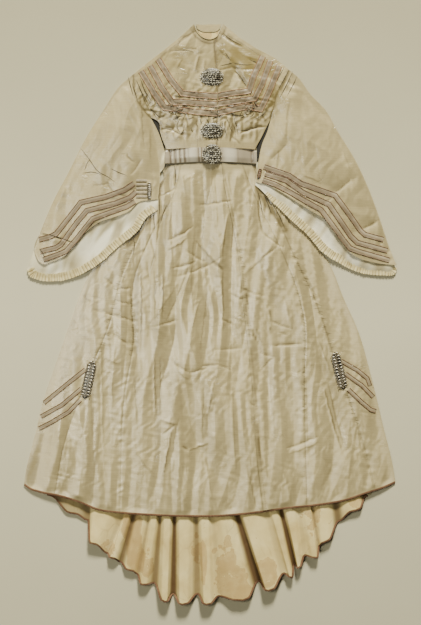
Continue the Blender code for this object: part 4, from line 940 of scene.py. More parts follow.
def taffeta():
    """Crisp silk: soft sheen, fine crosswise ribs, painted shade in its folds, painted sheen on its
    facets, and a little faded.
    """
    f = Finish("silk_taffeta", Sheen_Weight=0.06, Sheen_Roughness=0.4, Specular_IOR_Level=0.72)
    shade = f.mark("shade")
    cloudy = f.noise(9.0, detail=4.0)
    streaks = f.noise(26.0, (3.0, 0.4, 1.0), detail=2.0)
    facets = f.cells(24.0, (1.0, 0.30, 1.0), 0.10, "F1", 1)
    chips = f.cells(70.0, (1.0, 0.55, 1.0), 0.03, "F1", 1)
    fine_creases = f.limit(1.0 - f.cells(62.0, (0.75, 1.25, 1.0), 0.045, "DISTANCE_TO_EDGE", 0) * 13.0)
    fine_creases = fine_creases * f.limit((f.noise(17.0) - 0.56) * 6.0)
    ribs = f.noise(1.0, (22.0, 330.0, 1.0), detail=2.0)
    # The shade mark carries painted shade and sheen. The cell facets and chips are painted sheen of
    # crushed facets, and the edges of the fine creases are painted shade. Cloudy, streaks and ribs are
    # the silk's own tone
    tone = 0.5 + shade * 0.5 + (cloudy - 0.5) * 0.16 + (streaks - 0.5) * 0.14 + (ribs - 0.5) * 0.24
    tone = f.limit(tone + (facets - 0.5) * 0.12 + (chips - 0.5) * 0.04 - fine_creases * 0.12)
    colour = f.ramp(tone, (0.0, TAFFETA_DARK), (0.5, TAFFETA_MID), (1.0, TAFFETA_LIGHT))
    colour = f.mix(f.limit(f.mark("worn") * (0.6 + cloudy)), colour, TAFFETA_OLIVE)
    # Painted black shadow where the mesh marks it
    colour = f.mix(f.mark("hidden"), colour, PAINTED_SHADOW_BLACK)
    crinkle = f.noise(60.0, (1.0, 0.5, 1.0), detail=3.0, rough=0.6)
    slubs = f.noise(1.0, (30.0, 190.0, 1.0), detail=2.0)
    threads = f.weave(260.0, (0.2, 1.0, 1.0))
    normal = f.bump(crinkle, 0.35, 0.0016)
    normal = f.bump(fine_creases, 0.5, -0.0012, over=normal)
    normal = f.bump(slubs, 0.30, 0.0009, over=normal)
    normal = f.bump(threads, 0.10, 0.0002, over=normal)
    return f.set(colour, 0.26 + f.noise(40.0) * 0.08 + f.mark("hidden") * 0.6, normal)


def white_silk():
    f = Finish("white_silk", Sheen_Weight=0.2, Sheen_Roughness=0.35, Specular_IOR_Level=0.5)
    tone = f.limit(0.5 + f.mark("shade") * 0.5 + (f.noise(14.0) - 0.5) * 0.6)
    colour = f.ramp(tone, (0.0, (0.42, 0.35, 0.20)), (0.6, (0.69, 0.62, 0.41)),
                    (1.0, (0.85, 0.795, 0.61)))
    normal = f.bump(f.noise(90.0, (0.7, 1.3, 1.0)), 0.3, 0.0014)
    return f.set(colour, 0.36 + f.noise(60.0) * 0.1, normal)


def old_cotton():
    """Glazed cotton of the train lining: cream, with brown tide marks, and painted shade along its fine
    creases and in the valleys of its pleats.
    """
    f = Finish("old_cotton", Specular_IOR_Level=0.35)
    cloudy = f.noise(11.0, detail=5.0, twist=0.6)
    blotch = f.noise(38.0, detail=4.0)
    cream = f.ramp(f.limit(cloudy * 1.3 - 0.15), (0.0, (0.50, 0.36, 0.13)),
                   (0.5, (0.68, 0.54, 0.24)), (1.0, (0.83, 0.70, 0.38)))
    # Painted shade along the fine creases
    creased = f.limit(1.0 - f.cells(26.0, (1.0, 0.6, 1.0), 0.08, "DISTANCE_TO_EDGE", 0) * 16.0)
    creased = creased * f.limit((f.noise(12.0) - 0.5) * 5.0)
    stain = f.limit((f.mark("stain") - 0.30 + (blotch - 0.5) * 1.3 + (cloudy - 0.5) * 0.8) * 3.0)
    tide = f.ramp(stain, (0.0, (0.0, 0.0, 0.0)), (0.18, (0.8, 0.8, 0.8)),
                  (0.36, (0.5, 0.5, 0.5)), (1.0, (0.72, 0.72, 0.72)))
    colour = f.mix(tide, cream, (0.42, 0.27, 0.095))
    colour = f.mix(creased * 0.4, colour, (0.25, 0.16, 0.06))
    # Painted shade in the valleys between the pleats
    colour = f.mix(f.limit(f.mark("shade") * -1.15), colour, (0.085, 0.045, 0.014))
    normal = f.bump(f.noise(60.0, (1.6, 0.5, 1.0)), 0.35, 0.0016)
    normal = f.bump(f.noise(900.0), 0.15, 0.0002, over=normal)
    return f.set(colour, 0.62 + blotch * 0.2, normal)


def pleated_ribbon():
    f = Finish("ruche_ribbon", Sheen_Weight=0.15, Specular_IOR_Level=0.4)
    tone = f.limit(0.55 + f.mark("shade") * 0.6 + (f.noise(18.0) - 0.5) * 0.5)
    colour = f.ramp(tone, (0.0, (0.30, 0.215, 0.08)), (0.5, (0.53, 0.43, 0.205)),
                    (1.0, (0.71, 0.61, 0.34)))
    normal = f.bump(f.noise(300.0), 0.2, 0.0004)
    return f.set(colour, 0.55 + f.noise(90.0) * 0.12, normal)


def band_satin(name, dark, middle, light):
    f = Finish(name, Sheen_Weight=0.04, Specular_IOR_Level=0.5)
    tone = f.limit(0.5 + f.mark("shade") * 0.5 + (f.noise(90.0) - 0.5) * 0.16)
    colour = f.ramp(tone, (0.0, dark), (0.5, middle), (1.0, light))
    normal = f.bump(f.noise(140.0), 0.2, 0.0006)
    return f.set(colour, 0.42 + f.noise(80.0) * 0.10, normal)


def piping_silk(name, dark, light):
    f = Finish(name, Specular_IOR_Level=0.5)
    tone = f.noise(120.0, detail=2.0)
    colour = f.ramp(tone, (0.3, dark), (0.7, light))
    normal = f.bump(f.noise(700.0), 0.25, 0.0005)
    return f.set(colour, 0.45 + f.noise(200.0) * 0.15, normal)


def belt_satin():
    f = Finish("belt_satin", Sheen_Weight=0.2, Specular_IOR_Level=0.7)
    tone = f.limit(0.5 + f.mark("shade") * 0.5 + (f.noise(40.0, (2.0, 0.3, 1.0)) - 0.5) * 0.25)
    colour = f.ramp(tone, (0.0, (0.19, 0.145, 0.095)), (0.5, (0.36, 0.30, 0.21)),
                    (1.0, (0.60, 0.54, 0.42)))
    normal = f.bump(f.noise(120.0, (2.0, 0.4, 1.0)), 0.15, 0.0006)
    return f.set(colour, 0.26 + f.noise(50.0) * 0.08, normal)


def corded_metal(name, dark, light, metal):
    """Wound cord and beads of the ornaments."""
    f = Finish(name, Metallic=metal, Specular_IOR_Level=0.7)
    tone = f.noise(260.0, detail=2.0)
    colour = f.ramp(tone, (0.3, dark), (0.72, light))
    normal = f.bump(f.noise(1400.0), 0.35, 0.0004)
    return f.set(colour, 0.24 + f.noise(300.0) * 0.16, normal)


def wool_braid():
    f = Finish("wool_braid", Specular_IOR_Level=0.2, Sheen_Weight=0.3)
    tone = f.limit(f.noise(30.0, detail=4.0) * 0.6 + f.noise(420.0) * 0.5)
    colour = f.ramp(tone, (0.3, (0.05, 0.024, 0.012)), (0.55, (0.14, 0.066, 0.034)),
                    (0.8, (0.24, 0.145, 0.078)))
    normal = f.bump(f.noise(900.0), 0.5, 0.0006)
    return f.set(colour, 0.8 + f.noise(200.0) * 0.1, normal)


def pale_floor():
    f = Finish("pale_floor", Specular_IOR_Level=0.2)
    colour = f.ramp(f.noise(3.0), (0.3, (0.60, 0.557, 0.40)), (0.7, (0.62, 0.577, 0.415)))
    # Painted fall-off of the light on the floor: darker beyond the neck and, less, beyond the train
    upward = f.node("SeparateXYZ", {}, {"Vector": f.place()}, out=1)
    painted_falloff = f.ramp(upward * 0.5 + 0.5, (0.0, (0.85, 0.85, 0.84)), (0.5, (1.0, 1.0, 1.0)),
                 (0.96, (0.70, 0.69, 0.66)))
    colour = f.mix(1.0, colour, painted_falloff, "MULTIPLY")
    return f.set(colour, 0.85 + f.noise(5.0) * 0.05)


SILK_FINISH = taffeta()
WHITE_FINISH = white_silk()
COTTON_FINISH = old_cotton()
RIBBON_FINISH = pleated_ribbon()
BAND_FINISH = band_satin("taupe_satin", (0.09, 0.062, 0.034), (0.265, 0.204, 0.125),
                         (0.46, 0.385, 0.255))
HIP_FINISH = band_satin("light_satin", (0.15, 0.11, 0.065), (0.31, 0.245, 0.15), (0.50, 0.42, 0.28))
SLAT_FINISH = piping_silk("slat_satin", (0.17, 0.13, 0.08), (0.33, 0.27, 0.17))
BROWN_PIPING = piping_silk("brown_piping", (0.085, 0.045, 0.024), (0.22, 0.13, 0.075))
RUST_PIPING = piping_silk("rust_piping", (0.22, 0.11, 0.05), (0.40, 0.25, 0.14))
BELT_FINISH = belt_satin()
SILVER_CORD = corded_metal("silver_cord", (0.30, 0.265, 0.19), (0.90, 0.85, 0.70), 0.2)
GREY_CORD = corded_metal("grey_cord", (0.06, 0.048, 0.03), (0.26, 0.22, 0.15), 0.2)
MOULD_FINISH = corded_metal("dark_mould", (0.012, 0.010, 0.007), (0.04, 0.034, 0.025), 0.0)
TAB_CORD = corded_metal("tab_cord", (0.12, 0.09, 0.055), (0.62, 0.54, 0.40), 0.15)
BRAID_FINISH = wool_braid()
# Near black for the cords of painted shadow along deep folds
CREASE_SHADOW_FINISH = piping_silk("crease_shadow_silk", (0.02, 0.014, 0.007), (0.06, 0.045, 0.022))
THREAD_FINISH = piping_silk("seam_thread", (0.20, 0.15, 0.09), (0.32, 0.25, 0.16))


def mesh_of(name, points, faces, finishes, marks=None, finish_of_face=None):
    """A mesh object from points in mm."""
    mesh = bpy.data.meshes.new(name)
    mesh.from_pydata((np.asarray(points, float) * MM).tolist(), [], faces)
    for finish in finishes:
        mesh.materials.append(finish)
    if finish_of_face is not None:
        mesh.polygons.foreach_set("material_index", np.asarray(finish_of_face, np.int32))
    for mark in ("shade", "worn", "stain", "hidden"):
        values = np.zeros(len(points)) if marks is None or mark not in marks else marks[mark]
        attribute = mesh.attributes.new(mark, "FLOAT", "POINT")
        attribute.data.foreach_set("value", np.asarray(values, np.float32).ravel())
    mesh.shade_smooth()
    mesh.set_sharp_from_angle(angle=math.radians(SHARP_ANGLE))
    piece = bpy.data.objects.new(name, mesh)
    bpy.context.scene.collection.objects.link(piece)
    return piece


def shell(name, upper, lower, finishes, marks=None, column_finish=None, closed=False):
    """A closed piece between two grids of points. closed joins the ends of its rows."""
    rows, columns = upper.shape[:2]
    number = np.arange(rows * columns).reshape(rows, columns)
    if closed:
        number = np.column_stack([number, number[:, :1]])
    under = number + rows * columns

    def quads(n):
        return np.stack([n[:-1, :-1], n[:-1, 1:], n[1:, 1:], n[1:, :-1]], axis=-1).reshape(-1, 4)

    def wall(edge, low):
        return np.stack([edge[1:], edge[:-1], low[:-1], low[1:]], axis=-1)
    faces = [quads(number), quads(under)[:, ::-1], wall(number[0], under[0]),
             wall(number[-1, ::-1], under[-1, ::-1])[::-1]]
    if not closed:
        faces += [wall(number[::-1, 0], under[::-1, 0])[::-1], wall(number[:, -1], under[:, -1])]
    faces = np.vstack(faces)
    across, along = upper[0, 1] - upper[0, 0], upper[1, 0] - upper[0, 0]
    if across[0] * along[1] - across[1] * along[0] < 0:
        faces = faces[:, ::-1]
    finish_of_face = None
    if column_finish is not None:
        one = np.tile(column_finish, rows - 1)
        finish_of_face = np.concatenate([one, one, column_finish, column_finish,
                                         np.full(rows - 1, column_finish[0]),
                                         np.full(rows - 1, column_finish[-1])])
    points = np.vstack([upper.reshape(-1, 3), lower.reshape(-1, 3)])
    both = {k: np.concatenate([v.ravel(), v.ravel()]) for k, v in (marks or {}).items()}
    return mesh_of(name, points, faces.tolist(), finishes, both, finish_of_face)


def cloth(name, grid, bottom, wall, finish, marks=None):
    """A thin shell of cloth on a grid of (x, y), its underside at the height bottom(x, y)."""
    z = bottom(grid[..., 0], grid[..., 1])
    lower = np.dstack([grid, z])
    upper = np.dstack([grid, z + wall])
    return shell(name, upper, lower, [finish], marks)


def stand_for(piece, slot, *nodes):
    """The piece takes the place of these solids."""
    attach(piece, "root")
    if nodes:
        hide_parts(*nodes)
    return piece


def cloth_area(piece):
    """Half the surface of a closed shell, in square metres."""
    return 0.5 * sum(face.area for face in piece.data.polygons)


def declare(piece, rests_on, with_pieces=(), length=None):
    """Works out the mean width and the length of this piece's cloth, but passes them on to nothing."""
    if length is None:
        _, y, _ = np.array([v.co for v in piece.data.vertices]).T
        length = float(np.ptp(y))
    width = cloth_area(piece) / length
    list(with_pieces)
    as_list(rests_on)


class Pile:
    """Many small parts that are joined into one mesh."""

    def __init__(self):
        self.points, self.faces, self.count, self.kinds = [], [], 0, []

    def add(self, points, faces, kind=0):
        self.points.append(np.asarray(points, float))
        self.faces += [tuple(int(i) + self.count for i in face) for face in faces]
        self.kinds += [kind] * len(faces)
        self.count += len(points)

    def make(self, name, finishes):
        return mesh_of(name, np.vstack(self.points), self.faces, finishes, None, self.kinds)


LOOP_RINGS, LOOP_SIDES = 10, 5
BEAD_RINGS, BEAD_SIDES = 5, 8
WINDING_SIDES = 6


def ring_faces(rings, sides, wrap):
    """Faces between rings of points, from the first to the last, and back to the first with wrap."""
    faces = []
    for r in range(rings if wrap else rings - 1):
        for k in range(sides):
            a, b = r * sides + k, r * sides + (k + 1) % sides
            c, d = ((r + 1) % rings) * sides + (k + 1) % sides, ((r + 1) % rings) * sides + k
            faces.append((a, b, c, d))
    return faces


def turned(points, angle):
    """The points turned about their third axis."""
    c, s = math.cos(angle), math.sin(angle)
    return np.column_stack([points[:, 0] * c - points[:, 1] * s, points[:, 0] * s + points[:, 1] * c,
                            points[:, 2]])


def around(centre, wide, long, count):
    """Places evenly round an oval, each with its angle."""
    for k in range(count):
        a = 2 * math.pi * k / count
        yield a, centre[0] + wide * math.cos(a), centre[1] + long * math.sin(a)


def loop_points(centre, across, along, wire, turn=0.0, tilt=0.0):
    """An oval loop of wound cord round a centre."""
    out = []
    for r in range(LOOP_RINGS):
        a = 2 * math.pi * r / LOOP_RINGS
        way = np.array([math.cos(a), math.sin(a), 0.0])
        middle = np.array([across * way[0], along * way[1], 0.0])
        for k in range(LOOP_SIDES):
            b = 2 * math.pi * k / LOOP_SIDES
            out.append(middle + way * wire * math.cos(b) + np.array([0, 0, wire * math.sin(b)]))
    tilted = turned(np.array(out)[:, [1, 2, 0]], tilt)
    return turned(tilted[:, [2, 0, 1]], turn) + np.asarray(centre, float)


def bead_points(centre, radius, sides=BEAD_SIDES):
    """A small round bead."""
    out = []
    for r in range(BEAD_RINGS):
        a = math.pi * (r + 0.5) / BEAD_RINGS
        for k in range(sides):
            b = 2 * math.pi * k / sides
            out.append((radius * math.sin(a) * math.cos(b), radius * math.sin(a) * math.sin(b),
                        -radius * math.cos(a)))
    return np.array(out) + np.asarray(centre, float)


def winding(centre, half, wire, turn):
    """One short bright winding of metal thread, thick in the middle."""
    out = bead_points((0, 0, 0), 1.0, WINDING_SIDES) * np.array([wire, wire, half])
    return turned(out[:, [2, 0, 1]], turn) + np.asarray(centre, float)


def cord_points(path, radius, sides=6):
    """Rings of a round cord along a path of points."""
    path = np.asarray(path, float)
    runs = np.gradient(path, axis=0)
    runs /= np.maximum(np.linalg.norm(runs, axis=1), 1e-9)[:, None]
    side = np.column_stack([-runs[:, 1], runs[:, 0], np.zeros(len(runs))])
    side /= np.maximum(np.linalg.norm(side, axis=1), 1e-9)[:, None]
    up = np.cross(runs, side)
    rings = []
    for k in range(sides):
        b = 2 * math.pi * k / sides
        rings.append(path + radius * (side * math.cos(b) + up * math.sin(b)))
    return np.stack(rings, axis=1).reshape(-1, 3)


def cord_faces(count, sides=6):
    """Faces of a cord, its two ends included."""
    return (ring_faces(count, sides, False)
            + [tuple(range(sides - 1, -1, -1)), tuple(range((count - 1) * sides, count * sides))])


LOOP_FACES = ring_faces(LOOP_RINGS, LOOP_SIDES, True)
BEAD_FACES = cord_faces(BEAD_RINGS, BEAD_SIDES)
WINDING_FACES = cord_faces(BEAD_RINGS, WINDING_SIDES)


def gore_grid(k):
    """Fine grid of one front gore, the same seams and hem as its solid."""
    right_seam, left_seam = seam_line(k - 1), seam_line(k)
    a, b = right_seam[-1][0], left_seam[-1][0]
    columns = max(8, round((b - a) / CELL_ACROSS))
    _, cut = front_hem_line(400)
    order = np.argsort(cut[:, 0])
    end_x = np.linspace(a, b, columns + 1)
    laps = k == OPENING_SEAM + 1
    if laps:
        end_x[0] -= OPENING_LAP
    end_y = np.interp(end_x, cut[order, 0], cut[order, 1])
    start = WAIST_Y - SEAM_GAP
    rows = np.linspace(0, 1, round(SKIRT_LENGTH / CELL_ALONG))[:, None]
    y = start + (end_y[None, :] - start) * rows
    u = np.linspace(0, 1, columns + 1)
    x = (1 - u) * x_at(right_seam, y) + u * x_at(left_seam, y)
    x += (end_x - x[-1])[None, :] * rows ** 3
    if laps:
        lap = OPENING_LAP * smooth(rows[:, 0] / OPENING_START) * (1 - rows[:, 0] ** 3)
        x -= lap[:, None] * (1 - u)[None, :] ** 3
    if k == 0:
        x -= SKIRT_BULGE * bell(y - SKIRT_BULGE_Y, SKIRT_BULGE_RUN) * (1 - u)[None, :] ** 2
    ease = SEAM_GAP / 2
    if k > 0 and not laps:
        x[:, 0] += ease
    if k < len(GORE_NAMES) - 1:
        x[:, -1] -= ease
    return np.dstack([x, y])


def painted_sheen_and_shade(form, x, y):
    """Painted sheen and shade: the silk is painted lighter where a facet turns to the neck or the right
    side, and darker away from it.
    """
    across = (form(x + TONE_STEP, y) - form(x - TONE_STEP, y)) / (2 * TONE_STEP)
    along = (form(x, y + TONE_STEP) - form(x, y - TONE_STEP)) / (2 * TONE_STEP)
    return PAINTED_SHEEN * np.tanh((1.2 * across - along) / STEEP) + PAINTED_SHEEN_SHIFT


def skirt_marks(x, y):
    """Painted shade beside the creases and where the skirt goes in below the sleeves, painted sheen and
    shade on the facets, darker along the seams, and painted black shadow under the belt.
    """
    shade = 0.42 * painted_crease_lines(SKIRT_CREASES, x, y) + painted_sheen_and_shade(skirt_crush, x, y)
    # Painted shadow where the skirt goes in below the sleeves
    for line in SHADOWS_UNDER_SLEEVES:
        shade = shade - 1.2 * bell(distance_to([even(line, 12)], x, y), SLEEVE_SHADOW_WIDTH)
    for seam in GORE_SEAMS:
        away = np.abs(x - x_at(seam, y))
        shade -= 0.3 * bell(away, 2.5)
    # Painted black shadow just below the lower edge of the belt
    hidden = 0.75 * bell(y - BELT_LOW_Y + 6.0 * (x / 120.0) ** 2, 4.5)
    return {"shade": np.clip(shade, -1, 1), "hidden": np.clip(hidden, 0, 1)}


def skirt_front():
    """The six front gores by name."""
    made = {}
    for k, name in enumerate(GORE_NAMES):
        grid = gore_grid(k)
        laps = k == OPENING_SEAM + 1

        def bottom(x, y, laps=laps):
            return skirt_bottom(x, y, laps)
        piece = cloth(name + "_silk", grid, bottom, SILK, SILK_FINISH,
                      skirt_marks(grid[..., 0], grid[..., 1]))
        made[name] = stand_for(piece, "silk_taffeta", name)
    return made


def over_skirt(x, y):
    """Top of the skirt front, the lap at the opening included."""
    lapped = x > x_at(GORE_SEAMS[OPENING_SEAM], y) - OPENING_LAP
    return skirt_bottom(x, y) + np.where(lapped, lap_over_opening(x, y), 0.0) + SILK


PIPE_ACROSS = (0.0, 0.5, 1.3, 2.1, 2.6)
PIPE_HEIGHTS = (0.3, 1.4, 1.9, 1.4, 0.6)
SATIN_HEIGHTS = (0.8, 1.0, 1.0, 0.8)
SATIN_INSET = 4.0      # the flat satin starts this far inside the edge of the band
BAND_STEP = 3.0
BAND_TUCK = 10.0       # how far a hip band runs in under its tab


def piped_band(name, line, width, top, pipe, ruffle=0.25, satin=None):
    """A strip of satin with a round piping along each edge, laid on the cloth below."""
    line = divided(np.array(line, float), BAND_STEP)
    half = 0.5 * width
    centre = np.linspace(-half + SATIN_INSET, half - SATIN_INSET, len(SATIN_HEIGHTS))
    across = [-half + a for a in PIPE_ACROSS] + list(centre) + [half - a for a in PIPE_ACROSS[::-1]]
    heights = list(PIPE_HEIGHTS + SATIN_HEIGHTS + PIPE_HEIGHTS[::-1])
    grid = np.stack([offset_line(line, a) for a in across], axis=1)
    base = top(grid[..., 0], grid[..., 1]) + TRIM_GAP
    seed = 200 + len(name)
    wave = ruffle * lattice(grid[..., 0], grid[..., 1], 7.0, 7.0, seed)
    inside = ~np.isin(heights, (PIPE_HEIGHTS[0], PIPE_HEIGHTS[-1]))
    upper = np.dstack([grid, base + np.array(heights) + np.maximum(wave, -0.2) * inside])
    lower = np.dstack([grid, base])
    pipes = len(PIPE_ACROSS) - 1
    column_finish = np.array([1] * pipes + [0] * (len(across) - 1 - 2 * pipes) + [1] * pipes)
    travel = np.arange(len(line))[:, None] * BAND_STEP
    streaks = lattice(travel + 0 * grid[..., 0], np.array(across)[None, :] + 40.0, 60.0, 3.4, seed + 1)
    shade = 0.6 * streaks + 0.3 * ruffle * (lattice(grid[..., 0], grid[..., 1], 8.0, 8.0, seed + 2) - 1.2)
    finishes = [satin or BAND_FINISH, pipe]
    piece = shell(name + "_satin", upper, lower, finishes, {"shade": shade}, column_finish)
    return stand_for(piece, "satin_band", name)


def up_to_tab(line):
    """A hip band with its inner end tucked under its tab."""
    first, second = np.array(line[0], float), np.array(line[1], float)
    run = (first - second) / np.linalg.norm(first - second)
    return [tuple(first + BAND_TUCK * run)] + list(line)


# Steps of the mould below the cords, as shares of its size and of its height
MOULD_STEPS = ((0.90, 0.0), (0.98, 0.28), (0.88, 0.55), (0.62, 0.62), (0.52, 0.9), (0.28, 1.0))
MOULD_SIDES = 36
# Windings of the ornaments: their spacing down and across, half length and half thickness
WINDING_DOWN, WINDING_ACROSS, WINDING_HALF, WINDING_WIRE = 5.6, 7.2, 3.1, 1.35
# Rings of small loops at the rim. Columns: distance inside the rim, size of a loop, its turn
RIM_LOOPS = ((2.8, 2.5, 0.3), (7.4, 2.0, 1.2))
RIM_BEADS = 12
BEAD_RADIUS = 1.5


def oval_boss(pile, centre, across, along, height):
    """Stepped oval mould below the cords, in one stack of rings."""
    points = [(x, y, centre[2] + height * rise) for size, rise in MOULD_STEPS
              for _, x, y in around(centre, 0.5 * across * size, 0.5 * along * size, MOULD_SIDES)]
    pile.add(points, cord_faces(len(MOULD_STEPS), MOULD_SIDES), 1)


def rosette(name):
    """Passementerie ornament: rows of corded loops wound over a mould, with a beaded rim."""
    low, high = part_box(name)
    low, high = np.array(low) / MM, np.array(high) / MM
    centre = (low + high) / 2
    across, along = high[0] - low[0], high[1] - low[1]
    base, height = low[2], high[2] - low[2]
    pile = Pile()
    oval_boss(pile, (centre[0], centre[1], base), across * 0.94, along * 0.94, height * 0.8)
    rng = np.random.default_rng(len(name) + int(across))

    def rise(u, v):
        r = math.hypot(u, v)
        return height * (0.45 + 0.5 * math.sqrt(max(0.0, 1 - min(r, 1.0) ** 2)))
    rows = int((along / 2 - 6) / WINDING_DOWN)
    for j in range(-rows, rows + 1):
        v = j * WINDING_DOWN / (0.5 * along)
        half = math.sqrt(max(0.0, 1 - v * v)) * 0.5 * across - 8.0
        count = max(1, int(2 * half / WINDING_ACROSS))
        shift = WINDING_ACROSS / 4 if j % 2 else -WINDING_ACROSS / 4
        for i in range(count + 1):
            x = -half + 2 * half * i / count + shift
            u = x / (0.5 * across)
            z = base + rise(u, v) + rng.uniform(-0.3, 0.7)
            place = (centre[0] + x, centre[1] + j * WINDING_DOWN + rng.uniform(-0.8, 0.8), z)
            points = winding(place, WINDING_HALF, WINDING_WIRE, rng.uniform(-0.5, 0.5))
            pile.add(points, WINDING_FACES, rng.choice((0, 0, 2)))
    for inset, size, turn in RIM_LOOPS:
        wide, long = 0.5 * across - inset, 0.5 * along - inset
        count = int(math.pi * (wide + long) / (2.6 * size))
        z = base + 1.4 + 0.22 * height * (inset > 4)
        for k, (a, x, y) in enumerate(around(centre, wide, long, count)):
            points = loop_points((x, y, z), size, 0.8 * size, 0.75, a + turn, 0.3)
            pile.add(points, LOOP_FACES, 0 if k % 3 else 2)
    for _, x, y in around(centre, 0.17 * across, 0.15 * along, RIM_BEADS):
        pile.add(bead_points((x, y, base + height * 0.98), BEAD_RADIUS), BEAD_FACES)
    piece = pile.make(name + "_cords", [SILVER_CORD, MOULD_FINISH, GREY_CORD])
    return stand_for(piece, "passementerie", name)


# Slats of the right sleeve: how many, the first one's height on the dress, their pitch, their ends,
# and their section as distances from the middle line with the height at each
SLAT_COUNT, SLAT_Y, SLAT_PITCH = 5, 398.0, 12.0
SLAT_ENDS = (-222.0, -190.0)
SLAT_SECTION = ((-4.2, 0.4), (-3.6, 1.1), (0.0, 1.7), (3.6, 1.1), (4.2, 0.4))
SLAT_STATIONS = 12


def slats(top):
    """Ladder of short satin strips between the bands and the tab of the right sleeve."""
    pile = Pile()
    across = np.linspace(*SLAT_ENDS, SLAT_STATIONS)
    size = len(SLAT_SECTION) * SLAT_STATIONS
    n = np.arange(size).reshape(len(SLAT_SECTION), SLAT_STATIONS)
    faces = [(n[i, j], n[i, j + 1], n[i + 1, j + 1], n[i + 1, j])
             for i in range(len(SLAT_SECTION) - 1) for j in range(SLAT_STATIONS - 1)]
    faces += [tuple(size + v for v in f[::-1]) for f in faces]
    rim = list(n[0]) + list(n[1:, -1]) + list(n[-1, -2::-1]) + list(n[-2:0:-1, 0])
    faces += [(rim[i - 1], rim[i - 1] + size, rim[i] + size, rim[i]) for i in range(len(rim))]
    for k in range(SLAT_COUNT):
        lower, upper = [], []
        for dy, rise in SLAT_SECTION:
            y = np.full(SLAT_STATIONS, SLAT_Y - SLAT_PITCH * k + dy)
            z = top(across, y) + TRIM_GAP
            lower.append(np.column_stack([across, y, z]))
            upper.append(np.column_stack([across, y, z + rise]))
        pile.add(np.vstack(upper + lower), faces)
    return stand_for(pile.make("sleeve_slats_right", [SLAT_FINISH]), "satin_band")


# The two kinds of tab. Columns: rows of loops, their pitch, half length of a loop as a share of the
# width, its half height, and the thickness of its cord
WIDE_TAB = (2, 9.0, 0.19, 3.1, 1.15)
NARROW_TAB = (1, 5.6, 0.4, 2.2, 0.9)
WIDE_FROM = 20.0


def beaded_tab(name, ends, width, top, cord=None):
    """Corded loops over a padded strip: two rows side by side with beads between, or one row."""
    ends = np.array(ends, float)
    run = ends[1] - ends[0]
    length = np.linalg.norm(run)
    run /= length
    side = np.array([-run[1], run[0]])
    pile = Pile()
    stations = np.linspace(-0.5, 0.5, max(6, round(length / 5)))
    across = np.linspace(-1, 1, 9)
    inside = 0.5 * (1 - (np.abs(2 * stations) ** 6))[:, None] * 0.94 + 0.02
    middle = ends.mean(axis=0)
    flat = (middle + run * (stations * length)[:, None, None]
            + side * (across[None, :] * inside * width)[..., None])
    base = top(flat[..., 0], flat[..., 1]) + TRIM_GAP
    crown = 2.4 * np.sqrt(np.maximum(0.0, 1 - across ** 4))[None, :] + 0.4
    upper, lower = np.dstack([flat, base + crown]), np.dstack([flat, base])
    pad = shell(name + "_pad", upper, lower, [MOULD_FINISH])
    turn = math.atan2(run[1], run[0]) + math.pi / 2
    rows, step, half, tall, wire = WIDE_TAB if width > WIDE_FROM else NARROW_TAB

    def on_top(place, lift):
        return (*place, float(top(place[:1], place[1:])[0]) + TRIM_GAP + lift)
    for j in range(int(length / step)):
        t = -0.5 * length + step * (j + 0.7)
        for i in range(rows):
            s = 0.0 if rows == 1 else (i - 0.5) * width * 0.46
            if rows == 2 and abs(t) > 0.5 * length - 7:
                s *= 0.6
            place = middle + run * t + side * s
            centre = on_top(place, 3.0 + 0.8 * math.sin(7.0 * j + 3.0 * i))
            lean = turn + 0.35 * math.sin(5.0 * j + 2.0 * i)
            pile.add(loop_points(centre, half * width, tall, wire, lean, 0.45), LOOP_FACES)
        if rows == 2:
            for s in (-0.46 * width, 0.0, 0.46 * width):
                if abs(t) > 0.5 * length - 6:
                    s *= 0.6
                place = middle + run * (t + step / 2) + side * s
                pile.add(bead_points(on_top(place, 2.4), BEAD_RADIUS), BEAD_FACES)
    piece = pile.make(name + "_cords", [cord or TAB_CORD])
    stand_for(pad, "passementerie", name)
    stand_for(piece, "passementerie")
    return [pad, piece]


def braid(name, line, low):
    """A bound hem: a round-edged wool strip with a twisted rib, just outside the cloth."""
    middle = offset_line(line, 0.5 * BRAID_WIDTH)
    rings = []
    travel = np.concatenate([[0.0], np.cumsum(np.linalg.norm(np.diff(middle, axis=0), axis=1))])
    for k in range(BRAID_SIDES):
        a = 2 * math.pi * (k + 0.5) / BRAID_SIDES
        rope = 1.0 + 0.10 * np.sin(travel * 0.9 + 2 * a)
        out = offset_line(line, 0.5 * BRAID_WIDTH * (1 + BRAID_SPREAD * math.cos(a)))
        z = low + 0.5 * BRAID_HEIGHT * (1 + math.sin(a) * rope)
        rings.append(np.column_stack([out, z]))
    points = np.stack(rings, axis=1).reshape(-1, 3)
    faces = [face[::-1] for face in cord_faces(len(line), BRAID_SIDES)]
    piece = mesh_of(name + "_wool", points, faces, [BRAID_FINISH])
    return stand_for(piece, "hem_braid", name)


# Stains on the train lining. Columns: x, y, half width, half length, depth of colour
STAINS = [
    (-235, -640, 34, 60, 0.9), (-225, -720, 30, 70, 0.8), (-190, -745, 22, 60, 0.45),
    (60, -800, 60, 75, 0.62), (110, -850, 40, 40, 0.95), (40, -720, 40, 60, 0.35),
    (165, -770, 45, 60, 0.5), (-40, -700, 24, 50, 0.4), (-520, -570, 60, 40, 0.4),
    (300, -600, 40, 60, 0.35), (-90, -880, 10, 10, 0.9), (-20, -740, 12, 80, 0.55),
    (440, -560, 40, 40, 0.35), (-310, -700, 30, 40, 0.3),
]


def blobs(table, x, y):
    """How strongly the oval spots of a table show at each place."""
    total = np.zeros(np.shape(x))
    for bx, by, wide, long, depth in table:
        away = np.sqrt(((x - bx) / wide) ** 2 + ((y - by) / long) ** 2)
        total += depth * (1 - smooth((away - 0.55) / 0.6))
    return np.clip(total, 0, 1)


